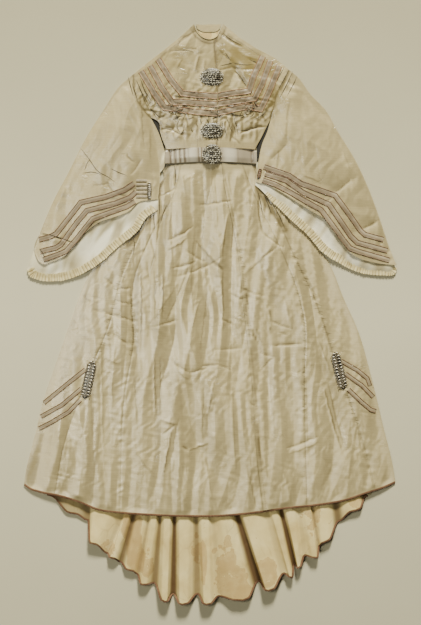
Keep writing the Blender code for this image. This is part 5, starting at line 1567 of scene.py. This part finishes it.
def train():
    """Back breadths, the lining of the train with its rolled pleats, and its braid."""
    rows, hem, lift, bound = train_rows(TRAIN_STEPS, TRAIN_SHARES)
    grid = rows[:, bound]
    x, y, z = grid[..., 0], grid[..., 1], grid[..., 2]
    low = z + SILK + LAYER_GAP
    ease = smooth((TRAIN_SHARES + 0.2) / 0.3)[:, None]
    wrinkle = 1.2 * lattice(x, y, 15.0, 42.0, 90) + 0.5 * lattice(x, y, 7.0, 12.0, 91)
    low = low + np.maximum(wrinkle, -0.2) * ease
    lower = np.dstack([x, y, low])
    upper = np.dstack([x, y, low + LINING])
    # Painted shade: the lining is darker the lower it lies below the nearby crests
    padded = np.pad(z, ((0, 0), (CREST_REACH, CREST_REACH)), mode="edge")
    nearby = np.lib.stride_tricks.sliding_window_view(padded, 2 * CREST_REACH + 1, axis=1)
    full = np.maximum(nearby.max(axis=-1), 4.0)
    deep = np.interp(z / full, [0.0, 0.15, 0.45, 1.0], [-0.95, -0.7, -0.05, 0.0])
    marks = {"stain": blobs(STAINS, x, y), "shade": deep * smooth((TRAIN_SHARES + 0.1) / 0.1)[:, None]}
    lining = shell("train_lining_cotton", upper, lower, [COTTON_FINISH], marks)
    stand_for(lining, "cotton_lining", "train_lining")
    edge = braid("hem_braid_train", hem[bound], lift[bound])
    backs = []
    middle = rows.shape[1] // 2
    for side in SIDES:
        part = (rows[:, :middle + 1] if side == "right" else rows[:, middle:]).copy()
        seam, rim = (-1, 0) if side == "right" else (0, -1)
        part[:, seam, 0] += OUTWARD[side] * SEAM_GAP / 2
        start = np.array([part[0, seam, 0] * 0.05, WAIST_Y - SEAM_GAP])
        upper_rows = []
        for share in BACK_SHARES:
            inner = start + (part[0, seam, :2] - start) * share
            rim_y = start[1] + (part[0, rim, 1] - start[1]) * share
            outer = np.array([float(x_at(SKIRT_EDGE[side], rim_y)), rim_y])
            ends = (outer, inner) if side == "right" else (inner, outer)
            row = np.linspace(*ends, part.shape[1])
            upper_rows.append(np.column_stack([row, waist_lift(row[:, 1])]))
        whole = np.array(upper_rows + list(part))
        top = whole + np.array([0.0, 0.0, SILK])
        piece = shell(f"skirt_back_{side}_silk", top, whole, [SILK_FINISH])
        backs.append(stand_for(piece, "silk_taffeta", "skirt_back_" + side))
    return lining, edge, backs


def front_braid():
    """Braid of the front hem, which lies as high as the edge of the gores."""
    hem, cut = front_hem_line(380)
    low = np.maximum(skirt_front_under(*cut.T) - 0.5, SILK + LAYER_GAP)
    return braid("hem_braid_front", hem, low)


SLEEVE_SHADOW_WIDTH = 6.5
# Lines along which the skirt is folded in below the sleeves, with painted shadow beside them
SHADOWS_UNDER_SLEEVES = [
    [(140, 384), (152, 350), (176, 316), (208, 276)],
    [(146, 380), (164, 352), (196, 300), (224, 252)],
    [(-176, 288), (-196, 268), (-222, 236), (-246, 206)],
    [(-146, 420), (-150, 390), (-156, 360)],
]

# Worn places where the silk has gone olive. Columns as for the stains
WORN = [
    (100, 770, 62, 36, 0.6), (150, 735, 50, 40, 0.4), (-120, 760, 50, 30, 0.35),
    (130, 690, 40, 50, 0.35),
    (60, 800, 40, 20, 0.4), (-190, 700, 30, 40, 0.3), (200, 640, 30, 60, 0.3), (0, 640, 260, 60, 0.3),
    (110, 760, 130, 60, 0.35), (-100, 760, 110, 60, 0.15), (150, 700, 60, 90, 0.3),
    (-170, 690, 60, 70, 0.2),
]


def bodice():
    """Back and the two fronts, which lap at the closure."""
    up = {}
    for side in SIDES:
        low = even(BODICE_SIDE[side][::-1], BODICE_LOW_ROWS + 1)
        high = divided(armscye_line(side)[::-1], parts=BODICE_HIGH_ROWS)
        up[side] = joined(low, high)
        up[side][:, 0] -= OUTWARD[side] * SEAM_GAP / 2
    count = len(up["right"])

    def side_by_side(top, left, right):
        bottom = even([left[0], right[0]], len(top))
        return patch(bottom, top, left, right)

    shoulder = {s: divided(even(SHOULDER[s], 5), parts=12) for s in SIDES}
    back_top = joined(shoulder["right"][::-1], even(BACK_NECKLINE, 30), shoulder["left"])
    back_top[0], back_top[-1] = up["right"][-1], up["left"][-1]
    grid = side_by_side(back_top, up["right"], up["left"])
    back = cloth("bodice_back_silk", grid[::2, ::2], lambda x, y: waist_lift(y), SILK, SILK_FINISH)
    stand_for(back, "silk_taffeta", "bodice_back")

    neckline = through(FRONT_NECKLINE, np.linspace(0, 1, 200))
    front = neckline[:, 1] < 840
    closure_end = int(np.argmin(np.abs(neckline[:, 0] - CLOSURE_EDGE[-1][0]) + 1e3 * ~front))
    underlap_end = int(np.argmin(np.abs(neckline[:, 0] - UNDERLAP_X) + 1e3 * ~front))
    top = joined(shoulder["right"][::-1], even(neckline[:closure_end + 1], 30))
    closure = even(CLOSURE_EDGE, count)
    top[0], top[-1] = up["right"][-1], closure[-1]
    grid = side_by_side(top, up["right"], closure)
    fronts = [cloth("bodice_front_right_silk", grid, bodice_right_bottom, SILK, SILK_FINISH,
                    bodice_marks(grid))]
    top = joined(even(neckline[underlap_end:], 30), shoulder["left"])
    top[-1] = up["left"][-1]
    underlap = even([(UNDERLAP_X, WAIST_Y), (UNDERLAP_X, 650), tuple(top[0])], count)
    grid = side_by_side(top, underlap, up["left"])
    fronts.append(cloth("bodice_front_left_silk", grid, bodice_left_bottom, SILK, SILK_FINISH,
                        bodice_marks(grid)))
    for piece, side in zip(fronts, SIDES):
        stand_for(piece, "silk_taffeta", "bodice_front_" + side)
    return back, fronts


def painted_underarm_shadow(side):
    """The cloth that is folded in between the bodice and the sleeve, coloured all over as painted black
    shadow.
    """
    out = OUTWARD[side]
    y = np.linspace(UNDERARM[side][1] - 4.0, BELT_LOW_Y + 5.0, 60)
    low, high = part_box("belt")
    belt_end = abs((low if side == "right" else high)[0]) / MM + 0.8
    near = out * np.maximum(np.abs(x_at(BODICE_SIDE[side], y)) + SEAM_GAP, belt_end * (y < 505))
    far = x_at(SLEEVE_BACK_INNER[side], y) - out * SEAM_GAP
    gap = np.maximum(out * (far - near), 0.4)
    if side == "right":
        gap = np.minimum(gap, 9.0 + 8.0 * smooth((y - 510.0) / 60.0))
    grid = np.stack([np.column_stack([near + out * gap * s, y]) for s in np.linspace(0, 1, 4)], axis=1)
    piece = cloth(f"underarm_shadow_{side}_silk", grid, lambda x, y: 0.1 + 0 * x, 0.8, SILK_FINISH,
                  {"hidden": np.ones(grid.shape[:2])})
    return stand_for(piece, "silk_taffeta")


def neck_cord():
    """Covered piping round the front of the neck and stitches beside the closure."""
    line = even(FRONT_NECKLINE[1:-1], 60)
    z = over_bodice(line[:, 0], line[:, 1]) + 1.4
    pile = Pile()
    pile.add(cord_points(np.column_stack([line, z]), 1.3), cord_faces(len(line)))
    line = even(CLOSURE_EDGE, 120)[:-2] + np.array([1.0, 0.0])
    z = over_bodice(line[:, 0] + 2.0, line[:, 1]) + 0.4
    pile.add(cord_points(np.column_stack([line, z]), 0.7), cord_faces(len(line)), 1)
    return stand_for(pile.make("neck_cord", [SILK_FINISH, THREAD_FINISH]), "silk_taffeta")


KNOTS = [(-106, 612), (-118, 624), (-92, 606), (124, 618), (136, 628), (112, 612)]


def knots():
    """Crumpled knots of the rust piping where the lowest chest bands bend."""
    pile = Pile()
    rng = np.random.default_rng(5)
    for x0, y0 in KNOTS:
        for k in range(7):
            place = np.array([x0 + rng.uniform(-8, 8), y0 + rng.uniform(-7, 7)])
            z = float(over_bodice(place[:1], place[1:])[0]) + 3.0 + rng.uniform(0, 1.2)
            points = winding((*place, z), rng.uniform(3, 6), 1.1, rng.uniform(0, 3.1))
            pile.add(points, WINDING_FACES, k % 3)
    return stand_for(pile.make("chest_knots", [GREY_CORD, RUST_PIPING, SLAT_FINISH]), "passementerie")


STITCH_FACES = [(3, 2, 1, 0), (4, 5, 6, 7), (0, 1, 5, 4), (1, 2, 6, 5), (2, 3, 7, 6), (3, 0, 4, 7)]


def stitches(name, lines, top, pitch=7.0, long=3.4, wide=1.1):
    """Rows of small stitches that lie on the cloth."""
    pile = Pile()
    for line in lines:
        line = divided(np.array(line, float), pitch)
        for a, b in zip(line[:-1], line[1:]):
            run = (b - a) / max(np.linalg.norm(b - a), 1e-6)
            side = np.array([-run[1], run[0]]) * wide / 2
            middle = (a + b) / 2
            ends = middle - run * long / 2, middle + run * long / 2
            flat = np.array([ends[0] - side, ends[1] - side, ends[1] + side, ends[0] + side])
            z = top(flat[:, 0], flat[:, 1]).max() + 0.05
            corners = [(*corner, height) for height in (z, z + 0.5) for corner in flat]
            pile.add(corners, STITCH_FACES)
    return stand_for(pile.make(name, [THREAD_FINISH]), "silk_taffeta")


# Lines of painted crease shadow, drawn as thin dark cords: over the chest and neck, at the armholes, and
# where the skirt goes in below the sleeves
BODICE_SHADOW_LINES = [
    [(74, 729), (94, 704), (110, 678)], [(110, 678), (122, 652), (134, 630)],
    [(88, 549), (116, 552), (140, 560)], [(-154, 555), (-124, 553), (-92, 540)],
    [(36, 843), (62, 822), (96, 804)], [(-118, 788), (-84, 790), (-52, 786)],
    [(44, 783), (52, 770), (62, 757)], [(115, 762), (130, 756), (146, 754)],
    [(-181, 618), (-168, 598), (-158, 580)], [(-172, 612), (-160, 596), (-146, 586)],
    [(28, 742), (52, 748), (70, 752)], [(-160, 690), (-172, 660), (-166, 630)],
    [(66, 752), (96, 746), (128, 746)], [(-92, 584), (-100, 560), (-90, 540)],
    [(170, 610), (150, 592), (128, 580)],
]
ARMHOLE_SHADOW_LINES = {
    "right": [[(-235, 693), (-228, 668), (-219, 642)], [(-223, 702), (-206, 664), (-184, 622)],
              [(-211, 708), (-198, 672), (-177, 636)], [(-247, 712), (-240, 684), (-231, 652)]],
    "left": [[(247, 728), (228, 688), (206, 644)], [(235, 732), (218, 700), (199, 664)],
             [(259, 712), (246, 684), (228, 650)], [(222, 742), (208, 716), (194, 690)]],
}
SLEEVE_SHADOW_LINES = [
    [(-392, 500), (-362, 462), (-337, 427), (-302, 407), (-284, 392)],
    [(-382, 422), (-356, 425), (-326, 417)],
    [(-300, 436), (-276, 424), (-250, 414)],
    [(-362, 462), (-372, 446), (-376, 430)],
]
SLEEVE_END_SHADOW_LINES = [
    [(-506, 242), (-482, 237), (-446, 226), (-400, 210)],
    [(-512, 194), (-506, 188), (-497, 172)],
]
SKIRT_SHADOW_LINES = [
    [(183, 334), (204, 298), (222, 258)], [(141, 370), (150, 334), (156, 294)],
    [(158, 360), (172, 330), (182, 300)], [(-160, 396), (-153, 330), (-157, 258)],
    [(-166, 330), (-170, 290), (-166, 250)], [(-231, 232), (-228, 204), (-232, 176)],
    [(-110, 452), (-105, 420), (-107, 380)], [(-130, 330), (-142, 300), (-150, 270)],
]


def shadow_cords(name, lines, top, thick, lift=0.05, points=14):
    """Thin dark cords of painted shadow along deep narrow folds, tapering to their ends."""
    pile = Pile()
    for line in lines:
        line = even(line, points)
        path = np.column_stack([line, top(line[:, 0], line[:, 1]) + lift])
        taper = thick * (0.12 + np.sin(np.pi * np.linspace(0, 1, points)) ** 0.7)
        pile.add(cord_points(path, taper[:, None], 5), cord_faces(points, 5))
    return stand_for(pile.make(name, [CREASE_SHADOW_FINISH]), "silk_taffeta")


def short_shadow_lines(seed, count, middle, spread, long, slope):
    """Random short folds about one place, as lines for cords of painted shadow."""
    rng = np.random.default_rng(seed)
    lines = []
    for _ in range(count):
        start = np.array(middle) + np.array(spread) * rng.uniform(-1, 1, 2)
        half = 0.5 * rng.uniform(*long)
        turn = rng.uniform(*slope)
        run = half * np.array([math.cos(turn), math.sin(turn)])
        bend = rng.uniform(-0.25, 0.25) * half * np.array([-math.sin(turn), math.cos(turn)])
        lines.append([tuple(start - run), tuple(start + bend), tuple(start + run)])
    return lines


# Short folds of the chest, drawn as cords of painted shadow. Columns: seed, how many, their middle,
# spread, length, and slope
CHEST_SHADOW_LINES = [
    (11, 44, (4, 623), (108, 40), (14, 42), (-0.35, 0.35)),
    (12, 14, (-114, 614), (24, 26), (12, 30), (-1.4, -0.3)),
    (13, 16, (116, 616), (26, 28), (12, 30), (0.3, 1.5)),
    (14, 16, (0, 565), (90, 22), (12, 34), (1.0, 2.1)),
]
# Puckered parts of the seams: number of the seam, and from where to where
PUCKERED = [(0, -250, 215), (1, -120, 60), (2, -60, 190), (3, -300, 120), (4, -330, 205)]
PUCKER_PITCH = 11.0


def seam_pucker_shadows():
    """Short folds that the gore seams draw into the silk, as lines for cords of painted shadow."""
    rng = np.random.default_rng(23)
    lines = []
    for seam, low, high in PUCKERED:
        for y in np.arange(low, high, PUCKER_PITCH):
            y = y + rng.uniform(-5, 5)
            x = float(x_at(GORE_SEAMS[seam], y))
            left, right = rng.uniform(2, 16, 2) * (1.0 if seam in (0, 4) else 0.6)
            slope = rng.uniform(-0.5, 0.25)
            lines.append([(x - left, y - slope * left), (x, y + rng.uniform(-1, 1)),
                          (x + right, y + slope * right)])
    return lines


def bodice_marks(grid):
    """Painted sheen and shade on facets and creases; darker at the closure, the armholes and the edge of
    the neck facing; olive where it is worn.
    """
    x, y = grid[..., 0], grid[..., 1]
    shade = 1.2 * painted_sheen_and_shade(bodice_crush, x, y) + 0.65 * painted_crease_lines(BODICE_CREASES, x, y)
    shade = shade - 0.9 * bell(x - x_at(CLOSURE_EDGE, y), SEAM_SHADE)
    chest = bell(y - 632.0, 42.0)
    head = np.minimum(*(from_armhole(side, x, y) for side in SIDES))
    shade = shade + 0.3 * chest * crumple(x, y, 12.0, 9.0, 96) - 0.9 * bell(head, SEAM_SHADE) - 0.24
    neck_edge = distance_to([even(FRONT_NECKLINE, 40)], x, y)
    facing = 0.35 * (1 - smooth((neck_edge - 10.0) / 3.0))
    shade = shade - facing - 0.7 * bell(neck_edge - 12.5, 2.2)
    return {"shade": np.clip(shade, -1, 1), "worn": 0.8 * blobs(WORN, x, y)}


BESIDE_CLOSURE = {"right": -1.5, "left": 1.8}


def up_to_closure(line, side):
    """The line of a chest band, to the edge of the closure."""
    y = line[-1][1]
    return line[:-1] + [(float(x_at(CLOSURE_EDGE, y)) + BESIDE_CLOSURE[side], y)]


def over_bodice(x, y):
    lapped = x < x_at(CLOSURE_EDGE, y)
    return bodice_left_bottom(x, y) + np.where(lapped, closure_rise(x), 0.0) + SILK


# Rows of stitches on the bodice: the strip beside the closure, the buttonhole patch and the darts
BODICE_STITCHES = [
    [(-38, 600), (-39, 500)], [(-36, 800), (-38, 720)], [(-104, 719), (-64, 719)],
    [(-76, 705), (-83, 625)],
    [(28, 590), (30, 500)], [(-84, 590), (-78, 500)], [(78, 590), (72, 500)],
    [(-40, 830), (-26, 817), (0, 811), (14, 813)], [(-58, 838), (-106, 806), (-164, 760)],
    [(50, 836), (90, 814), (140, 780), (196, 748)],
]

NECKBAND = ([(-40, 856), (-27, 848), (0, 846), (19, 848), (28, 856)],
            [(-43, 869), (-30, 867), (-6, 868), (18, 868), (31, 869)])
NECK_LINING = ([(-30, 812), (0, 800), (18, 812)],
               [(-36, 847), (-22, 843), (0, 842), (14, 843), (24, 847)])


def neck():
    """The neckband and the lining that shows inside the neck."""
    made = []
    for name, (lower, upper), wall, finish, slot in (
            ("neckband", NECKBAND, SILK, SILK_FINISH, "silk_taffeta"),
            ("neck_lining", NECK_LINING, LINING, COTTON_FINISH, "cotton_lining")):
        lower, upper = even(lower, 36), even(upper, 36)
        grid = patch(lower, upper, even([lower[0], upper[0]], 12), even([lower[-1], upper[-1]], 12))

        def bottom(x, y):
            return SILK + LAYER_GAP + 0.4 * np.maximum(lattice(x, y, 6.0, 9.0, 300), 0)
        stain = 0.25 + 0.5 * smooth((822 - grid[..., 1]) / 20)
        piece = cloth(name + "_cloth", grid, bottom, wall, finish, {"stain": stain})
        made.append(stand_for(piece, slot, name))
    return made


def sleeve(side):
    """Back, lining and front of a sleeve, and the height of the front's outside."""
    outline = side, SLEEVE_OUTER[side] + [SLEEVE_TIP[side]], SLEEVE_BACK_INNER[side], SLEEVE_HEM[side]
    grid = sleeve_grid(*outline, 50, 60)
    back = cloth(f"sleeve_back_{side}_silk", grid, sleeve_support, SILK, SILK_FINISH)
    stand_for(back, "silk_taffeta", "sleeve_back_" + side)

    grid = sleeve_grid(*outline, 75, LINING_ROWS)[round(LINING_ROWS * LINING_FROM):]

    def lining_bottom(x, y):
        soft = 0.5 * crumple(x - 0.4 * y, y, 24.0, 60.0, 82) + 0.3
        edge = distance_to([even(SLEEVE_HEM[side], 40)], x, y)
        low = sleeve_support(x, y) + SILK + LAYER_GAP
        near = bell(distance_to([even(SLEEVE_FRONT_HEM[side], 40)], x, y), 26.0)
        lifted = np.clip(sleeve_front_under(side)(x, y) - LINING - 1.2 - low, 0.0, 9.0)
        return low + np.maximum(soft, -0.1) * smooth(edge / 30) + 0.75 * near * lifted * smooth(edge / 20)
    slant = grid[..., 0] - 0.4 * grid[..., 1]
    # Painted shade and highlight on the lining's soft wrinkles, and painted shade beside the belt
    shade = 0.5 * crumple(slant, grid[..., 1], 30.0, 60.0, 82) + 0.25
    shade_beside_belt = smooth((grid[..., 1] - 425.0) / 15.0)
    shade = np.clip(shade - 2.5 * shade_beside_belt, -1, 1)
    lining = cloth(f"sleeve_lining_{side}_silk", grid, lining_bottom, LINING, WHITE_FINISH,
                   {"shade": shade})
    stand_for(lining, "sleeve_lining", "sleeve_lining_" + side)

    grid = sleeve_grid(side, SLEEVE_OUTER[side] + [SLEEVE_FRONT_TIP[side]],
                       SLEEVE_FRONT_INNER[side], SLEEVE_FRONT_HEM[side], SLEEVE_COLUMNS, SLEEVE_ROWS)
    bottom = sleeve_bottom(side)
    x, y = grid[..., 0], grid[..., 1]
    # Painted sheen and shade on the facets and beside the creases, darker along the armhole
    shade = 0.6 * painted_sheen_and_shade(bottom, x, y) - 0.12
    shade = shade - 0.8 * bell(from_armhole(side, x, y), SEAM_SHADE)
    shade = shade + 0.4 * painted_crease_lines(SLEEVE_CREASES[side], x, y)
    marks = {"shade": np.clip(shade, -0.9, 0.8), "worn": 0.5 * blobs(WORN, x, y)}
    front = cloth(f"sleeve_front_{side}_silk", grid, bottom, SILK, SILK_FINISH, marks)
    stand_for(front, "silk_taffeta", "sleeve_front_" + side)
    return back, lining, front, top_of(bottom)


def ruche(side):
    """Pleated ribbon along the sleeve hem, each pleat a small rounded fold, with painted shade between
    the pleats.
    """
    count = PLEAT_STATIONS * RUCHE_PLEATS[side] + 1
    outer = even(even(SLEEVE_HEM[side], HEM_STEPS)[:RUCHE_END[side]], count)
    runs = np.gradient(outer, axis=0)
    runs /= np.linalg.norm(runs, axis=1)[:, None]
    inside = np.column_stack([-runs[:, 1], runs[:, 0]]) * -OUTWARD[side]
    phase = np.arange(count) / PLEAT_STATIONS
    phase = phase + 0.45 * lattice(phase, 0 * phase, 2.3, 1.0, 15)
    wave = 0.85 * np.abs(np.sin(np.pi * phase)) ** 0.7 + 0.15 * np.abs(np.sin(2 * np.pi * phase))
    rng = np.random.default_rng(17)
    size = 1 + 0.25 * np.interp(phase, np.arange(RUCHE_PLEATS[side] + 2),
                                rng.uniform(-1, 1, RUCHE_PLEATS[side] + 2))
    across = np.linspace(0, 1, RIBBON_STATIONS)
    grid = np.empty((count, len(across), 2))
    for i, a in enumerate(across):
        reach = (RUCHE_WIDTH + RIBBON_SPREAD) * a + 1.8 * wave * size * (2 * a - 1)
        reach = reach + 1.2 * lattice(phase, 0 * phase + 3.0 * a, 1.7, 1.0, 19)
        grid[:, i] = outer + inside * (RUCHE_INSET + reach)[:, None]
    x, y = grid[..., 0], grid[..., 1]
    pinch = 0.45 + 0.55 * np.abs(2 * across - 1)
    base = sleeve_support(x, y) + SILK + LAYER_GAP + LINING + LAYER_GAP + 0.4
    z = base + (wave * size)[:, None] * RUCHE_HEIGHT * pinch[None, :]
    ragged = 0.5 * lattice(x, y, 7.0, 7.0, 97)
    # Painted shade between the pleats and at the pinch, lighter on the crests
    shade = np.clip((wave * size)[:, None] - 0.50 - 0.5 * (1 - pinch) + ragged, -1, 1)
    piece = shell(f"sleeve_ruche_{side}_ribbon", np.dstack([x, y, z + RIBBON_WALL]), np.dstack([x, y, z]),
                  [RIBBON_FINISH], {"shade": shade})
    return stand_for(piece, "ruche_ribbon", "sleeve_ruche_" + side)


# Upright folds of the belt. Columns: x, half width, height, and the painted sheen or shade of the fold
BELT_FOLDS = [
    (-120, 3, -0.6, -1.0), (-113, 3.5, 0.9, 0.7), (-105, 3, -0.7, -1.0), (-98, 4, 0.9, 1.0),
    (-91, 3, -0.7, -0.9), (-84, 4, 0.9, 0.9), (-77, 3, -0.7, -1.0), (-70, 3.5, 0.5, 0.6),
    (-52, 13, 0.6, 1.0), (-35, 2.5, -0.7, -1.0), (-30, 2, 0.5, 0.7), (-26, 2.5, -0.6, -0.9),
    (58, 20, 0.6, 1.0), (82, 3, -0.5, -0.4), (104, 14, 0.3, -0.15), (124, 5, -0.5, -0.8),
]
BELT_COLUMNS = 130
BELT_ROWS = 15
BELT_TOP_Y = 498.0    # the top edge at the middle
BELT_DROP = 42.0      # and the lower edge this far below it
BELT_BOW = 6.0        # the ends hang this much lower than the middle
BELT_EDGES = (450.6, 497.4)   # edges of the belt's solid, from which its height is taken
BELT_WALL = 1.2
BELT_INSET = 0.6      # the satin ends this far inside the solid
BELT_TURN = 1.5       # room inside the fold at each end
BELT_CLEAR = 1.2      # its height is taken no nearer than this to the ends


def belt():
    """A satin band round the waist, crushed into upright folds on the right side, painted lighter or
    darker on each fold as sheen and shade.
    """
    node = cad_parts["belt"]
    tree = BVHTree.FromPolygons([v.co for v in node.data.vertices],
                                [tuple(p.vertices) for p in node.data.polygons])
    low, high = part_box("belt")
    low, high = np.array(low) / MM, np.array(high) / MM
    outer_rows, inner_rows, shade_rows = [], [], []
    left, right = low[0] + BELT_INSET, high[0] - BELT_INSET
    x = np.linspace(left, right, BELT_COLUMNS)
    for v in np.linspace(0, 1, BELT_ROWS):
        y = BELT_TOP_Y - BELT_DROP * v - BELT_BOW * (x / right) ** 2
        z = []
        for a, b in zip(np.clip(x, left + BELT_CLEAR, right - BELT_CLEAR), np.clip(y, *BELT_EDGES)):
            hit = tree.ray_cast(Vector((a * MM, b * MM, 0.2)), Vector((0, 0, -1)))[0]
            z.append(hit.z / MM if hit else high[2] - 2)
        z = np.convolve(np.pad(z, 4, mode="edge"), np.ones(9) / 9, mode="valid")
        fold, shade = np.zeros(BELT_COLUMNS), np.zeros(BELT_COLUMNS)
        # Painted sheen on the raised folds and painted shade in the troughs
        for fx, width, height, tone in BELT_FOLDS:
            near = np.exp(-np.abs((x - fx - 2.0 * (v - 0.5)) / width) ** 3)
            fold += height * near
            shade += tone * near
        top = z + np.maximum(fold, -0.3)
        front = np.column_stack([x, y, top])
        under = np.column_stack([x, y, z - BELT_WALL])
        back = np.array([[right, y[-1], 0.0], [left, y[0], 0.0]])
        inner_back = back + np.array([[-BELT_TURN, 0, BELT_TURN], [BELT_TURN, 0, BELT_TURN]])
        under[0, 0] += BELT_TURN
        under[-1, 0] -= BELT_TURN
        outer_rows.append(np.vstack([front, back]))
        inner_rows.append(np.vstack([under, inner_back]))
        shade_rows.append(np.concatenate([np.clip(shade, -1, 1), [0, 0]]))
    piece = shell("belt_satin_band", np.array(outer_rows), np.array(inner_rows), [BELT_FINISH],
                  {"shade": np.array(shade_rows)}, closed=True)
    return stand_for(piece, "belt_satin", "belt")


# The photo's camera looks straight down from 5 m. Lamps: name, place in m, size in m and watts
CAMERA_PLACE = (0.0, 0.0045, 5.0)
LENS = 96
SENSOR = 36
LAMPS = [
    ("key_softbox", (1.2, 10.0, 5.8), 2.2, 3350.0),
    ("fill_softbox", (-3.6, -1.2, 3.0), 1.6, 30.0),
    ("top_softbox", (-1.7, 0.25, 4.1), 1.2, 66.0),
]
LAMP_COLOUR = (1.0, 0.98, 0.81)
STUDIO_COLOUR = (0.80, 0.785, 0.68, 1.0)
STUDIO_STRENGTH = 0.05
FLOOR_HALF = 6.0
FLOOR_Z = -0.0006


def camera_and_light():
    """Camera of the photo, its soft lamps, the dim studio and the pale floor."""
    lens = bpy.data.cameras.new("photo_camera")
    lens.lens = LENS
    lens.sensor_width = SENSOR
    camera = bpy.data.objects.new("photo_camera", lens)
    bpy.context.scene.collection.objects.link(camera)
    camera.location = CAMERA_PLACE
    bpy.context.scene.camera = camera
    for name, place, size, watts in LAMPS:
        lamp = bpy.data.lights.new(name, "AREA")
        lamp.energy = watts
        lamp.size = size
        lamp.color = LAMP_COLOUR
        light = bpy.data.objects.new(name, lamp)
        light.location = place
        light.rotation_euler = (-Vector(place)).to_track_quat("-Z", "Y").to_euler()
        bpy.context.scene.collection.objects.link(light)
    world = bpy.data.worlds.new("studio")
    world.use_nodes = True
    sky = world.node_tree.nodes["Background"].inputs
    sky["Color"].default_value = STUDIO_COLOUR
    sky["Strength"].default_value = STUDIO_STRENGTH
    bpy.context.scene.world = world
    mesh = bpy.data.meshes.new("floor")
    corners = [(x * FLOOR_HALF, y * FLOOR_HALF, FLOOR_Z) for x, y in ((-1, -1), (1, -1), (1, 1), (-1, 1))]
    mesh.from_pydata(corners, [], [(0, 1, 2, 3)])
    mesh.materials.append(pale_floor())
    floor = bpy.data.objects.new("floor", mesh)
    bpy.context.scene.collection.objects.link(floor)


camera_and_light()
gores = skirt_front()
lining, train_braid, backs = train()
hem = front_braid()
back, fronts = bodice()
neck_pieces = neck()
hip = {}
for side in SIDES:
    chest = [piped_band(f"chest_band_{side}_{k}", up_to_closure(line, side), CHEST_BAND_WIDTH,
                        over_bodice, RUST_PIPING, 0.9)
             for k, line in enumerate(CHEST_BANDS[side], 1)]
    sleeve_back, sleeve_lining, sleeve_front, sleeve_top = sleeve(side)
    cuffs = [piped_band(f"sleeve_band_{side}_{k}", line, CUFF_BAND_WIDTH, sleeve_top, BROWN_PIPING)
             for k, line in enumerate(SLEEVE_BANDS[side], 1)]
    cord = TAB_CORD if side == "right" else RUST_PIPING
    cuffs += beaded_tab("sleeve_tab_" + side, SLEEVE_TABS[side], SLEEVE_TAB_WIDTH[side], sleeve_top, cord)
    if side == "right":
        cuffs.append(slats(sleeve_top))
        shadow_cords("sleeve_crease_shadows", SLEEVE_SHADOW_LINES, sleeve_top, 0.9)
        shadow_cords("sleeve_end_crease_shadows", SLEEVE_END_SHADOW_LINES, sleeve_top, 1.3, lift=0.9)
    shadow_cords("armhole_folds_" + side, ARMHOLE_SHADOW_LINES[side],
               lambda x, y: np.maximum(over_bodice(x, y), sleeve_top(x, y)), 1.1)
    frill = ruche(side)
    hip[side] = [piped_band(f"hip_band_{side}_{k}", up_to_tab(line), HIP_SATIN_WIDTH, over_skirt,
                            BROWN_PIPING, satin=HIP_FINISH)
                 for k, line in enumerate(HIP_BANDS[side], 1)]
    hip[side] += beaded_tab("hip_tab_" + side, HIP_TABS[side], HIP_TAB_WIDTH, over_skirt)
    declare(sleeve_back, [gores["skirt_side_front_" + side]])
    declare(sleeve_lining, [sleeve_back])
    declare(sleeve_front, [sleeve_lining], cuffs)
    ribbon = cloth_area(frill) / (RUCHE_WIDTH * MM)
    declare(frill, [sleeve_lining], length=ribbon)
    declare(fronts[SIDES.index(side)], [back], chest)
neck_cord()
knots()
chest_lines = [line for group in CHEST_SHADOW_LINES for line in short_shadow_lines(*group)]
shadow_cords("chest_crease_shadows", chest_lines, over_bodice, 0.6, 1.0)
shadow_cords("bodice_crease_shadows", BODICE_SHADOW_LINES, over_bodice, 0.9)
shadow_cords("skirt_crease_shadows", SKIRT_SHADOW_LINES, over_skirt, 1.1)
shadow_cords("seam_pucker_shadows", seam_pucker_shadows(), over_skirt, 0.34, points=8)
stitches("skirt_seam_stitches", [seam_line(k)[6:] for k in range(5)], over_skirt)
stitches("closure_stitches", BODICE_STITCHES, over_bodice, 5.0, 2.6, 1.0)
waist = belt()
for name in ("rosette_upper", "rosette_lower", "belt_ornament"):
    rosette(name)
declare(back, ["floor"], [painted_underarm_shadow(side) for side in SIDES])
for piece in neck_pieces:
    declare(piece, [back])
trims = {"skirt_side_front_" + side: pieces for side, pieces in hip.items()}
for name, piece in gores.items():
    declare(piece, backs, trims.get(name, []))
for piece in backs:
    declare(piece, ["floor"])
declare(lining, backs, [train_braid])
declare(waist, fronts)

bpy.context.view_layer.update()
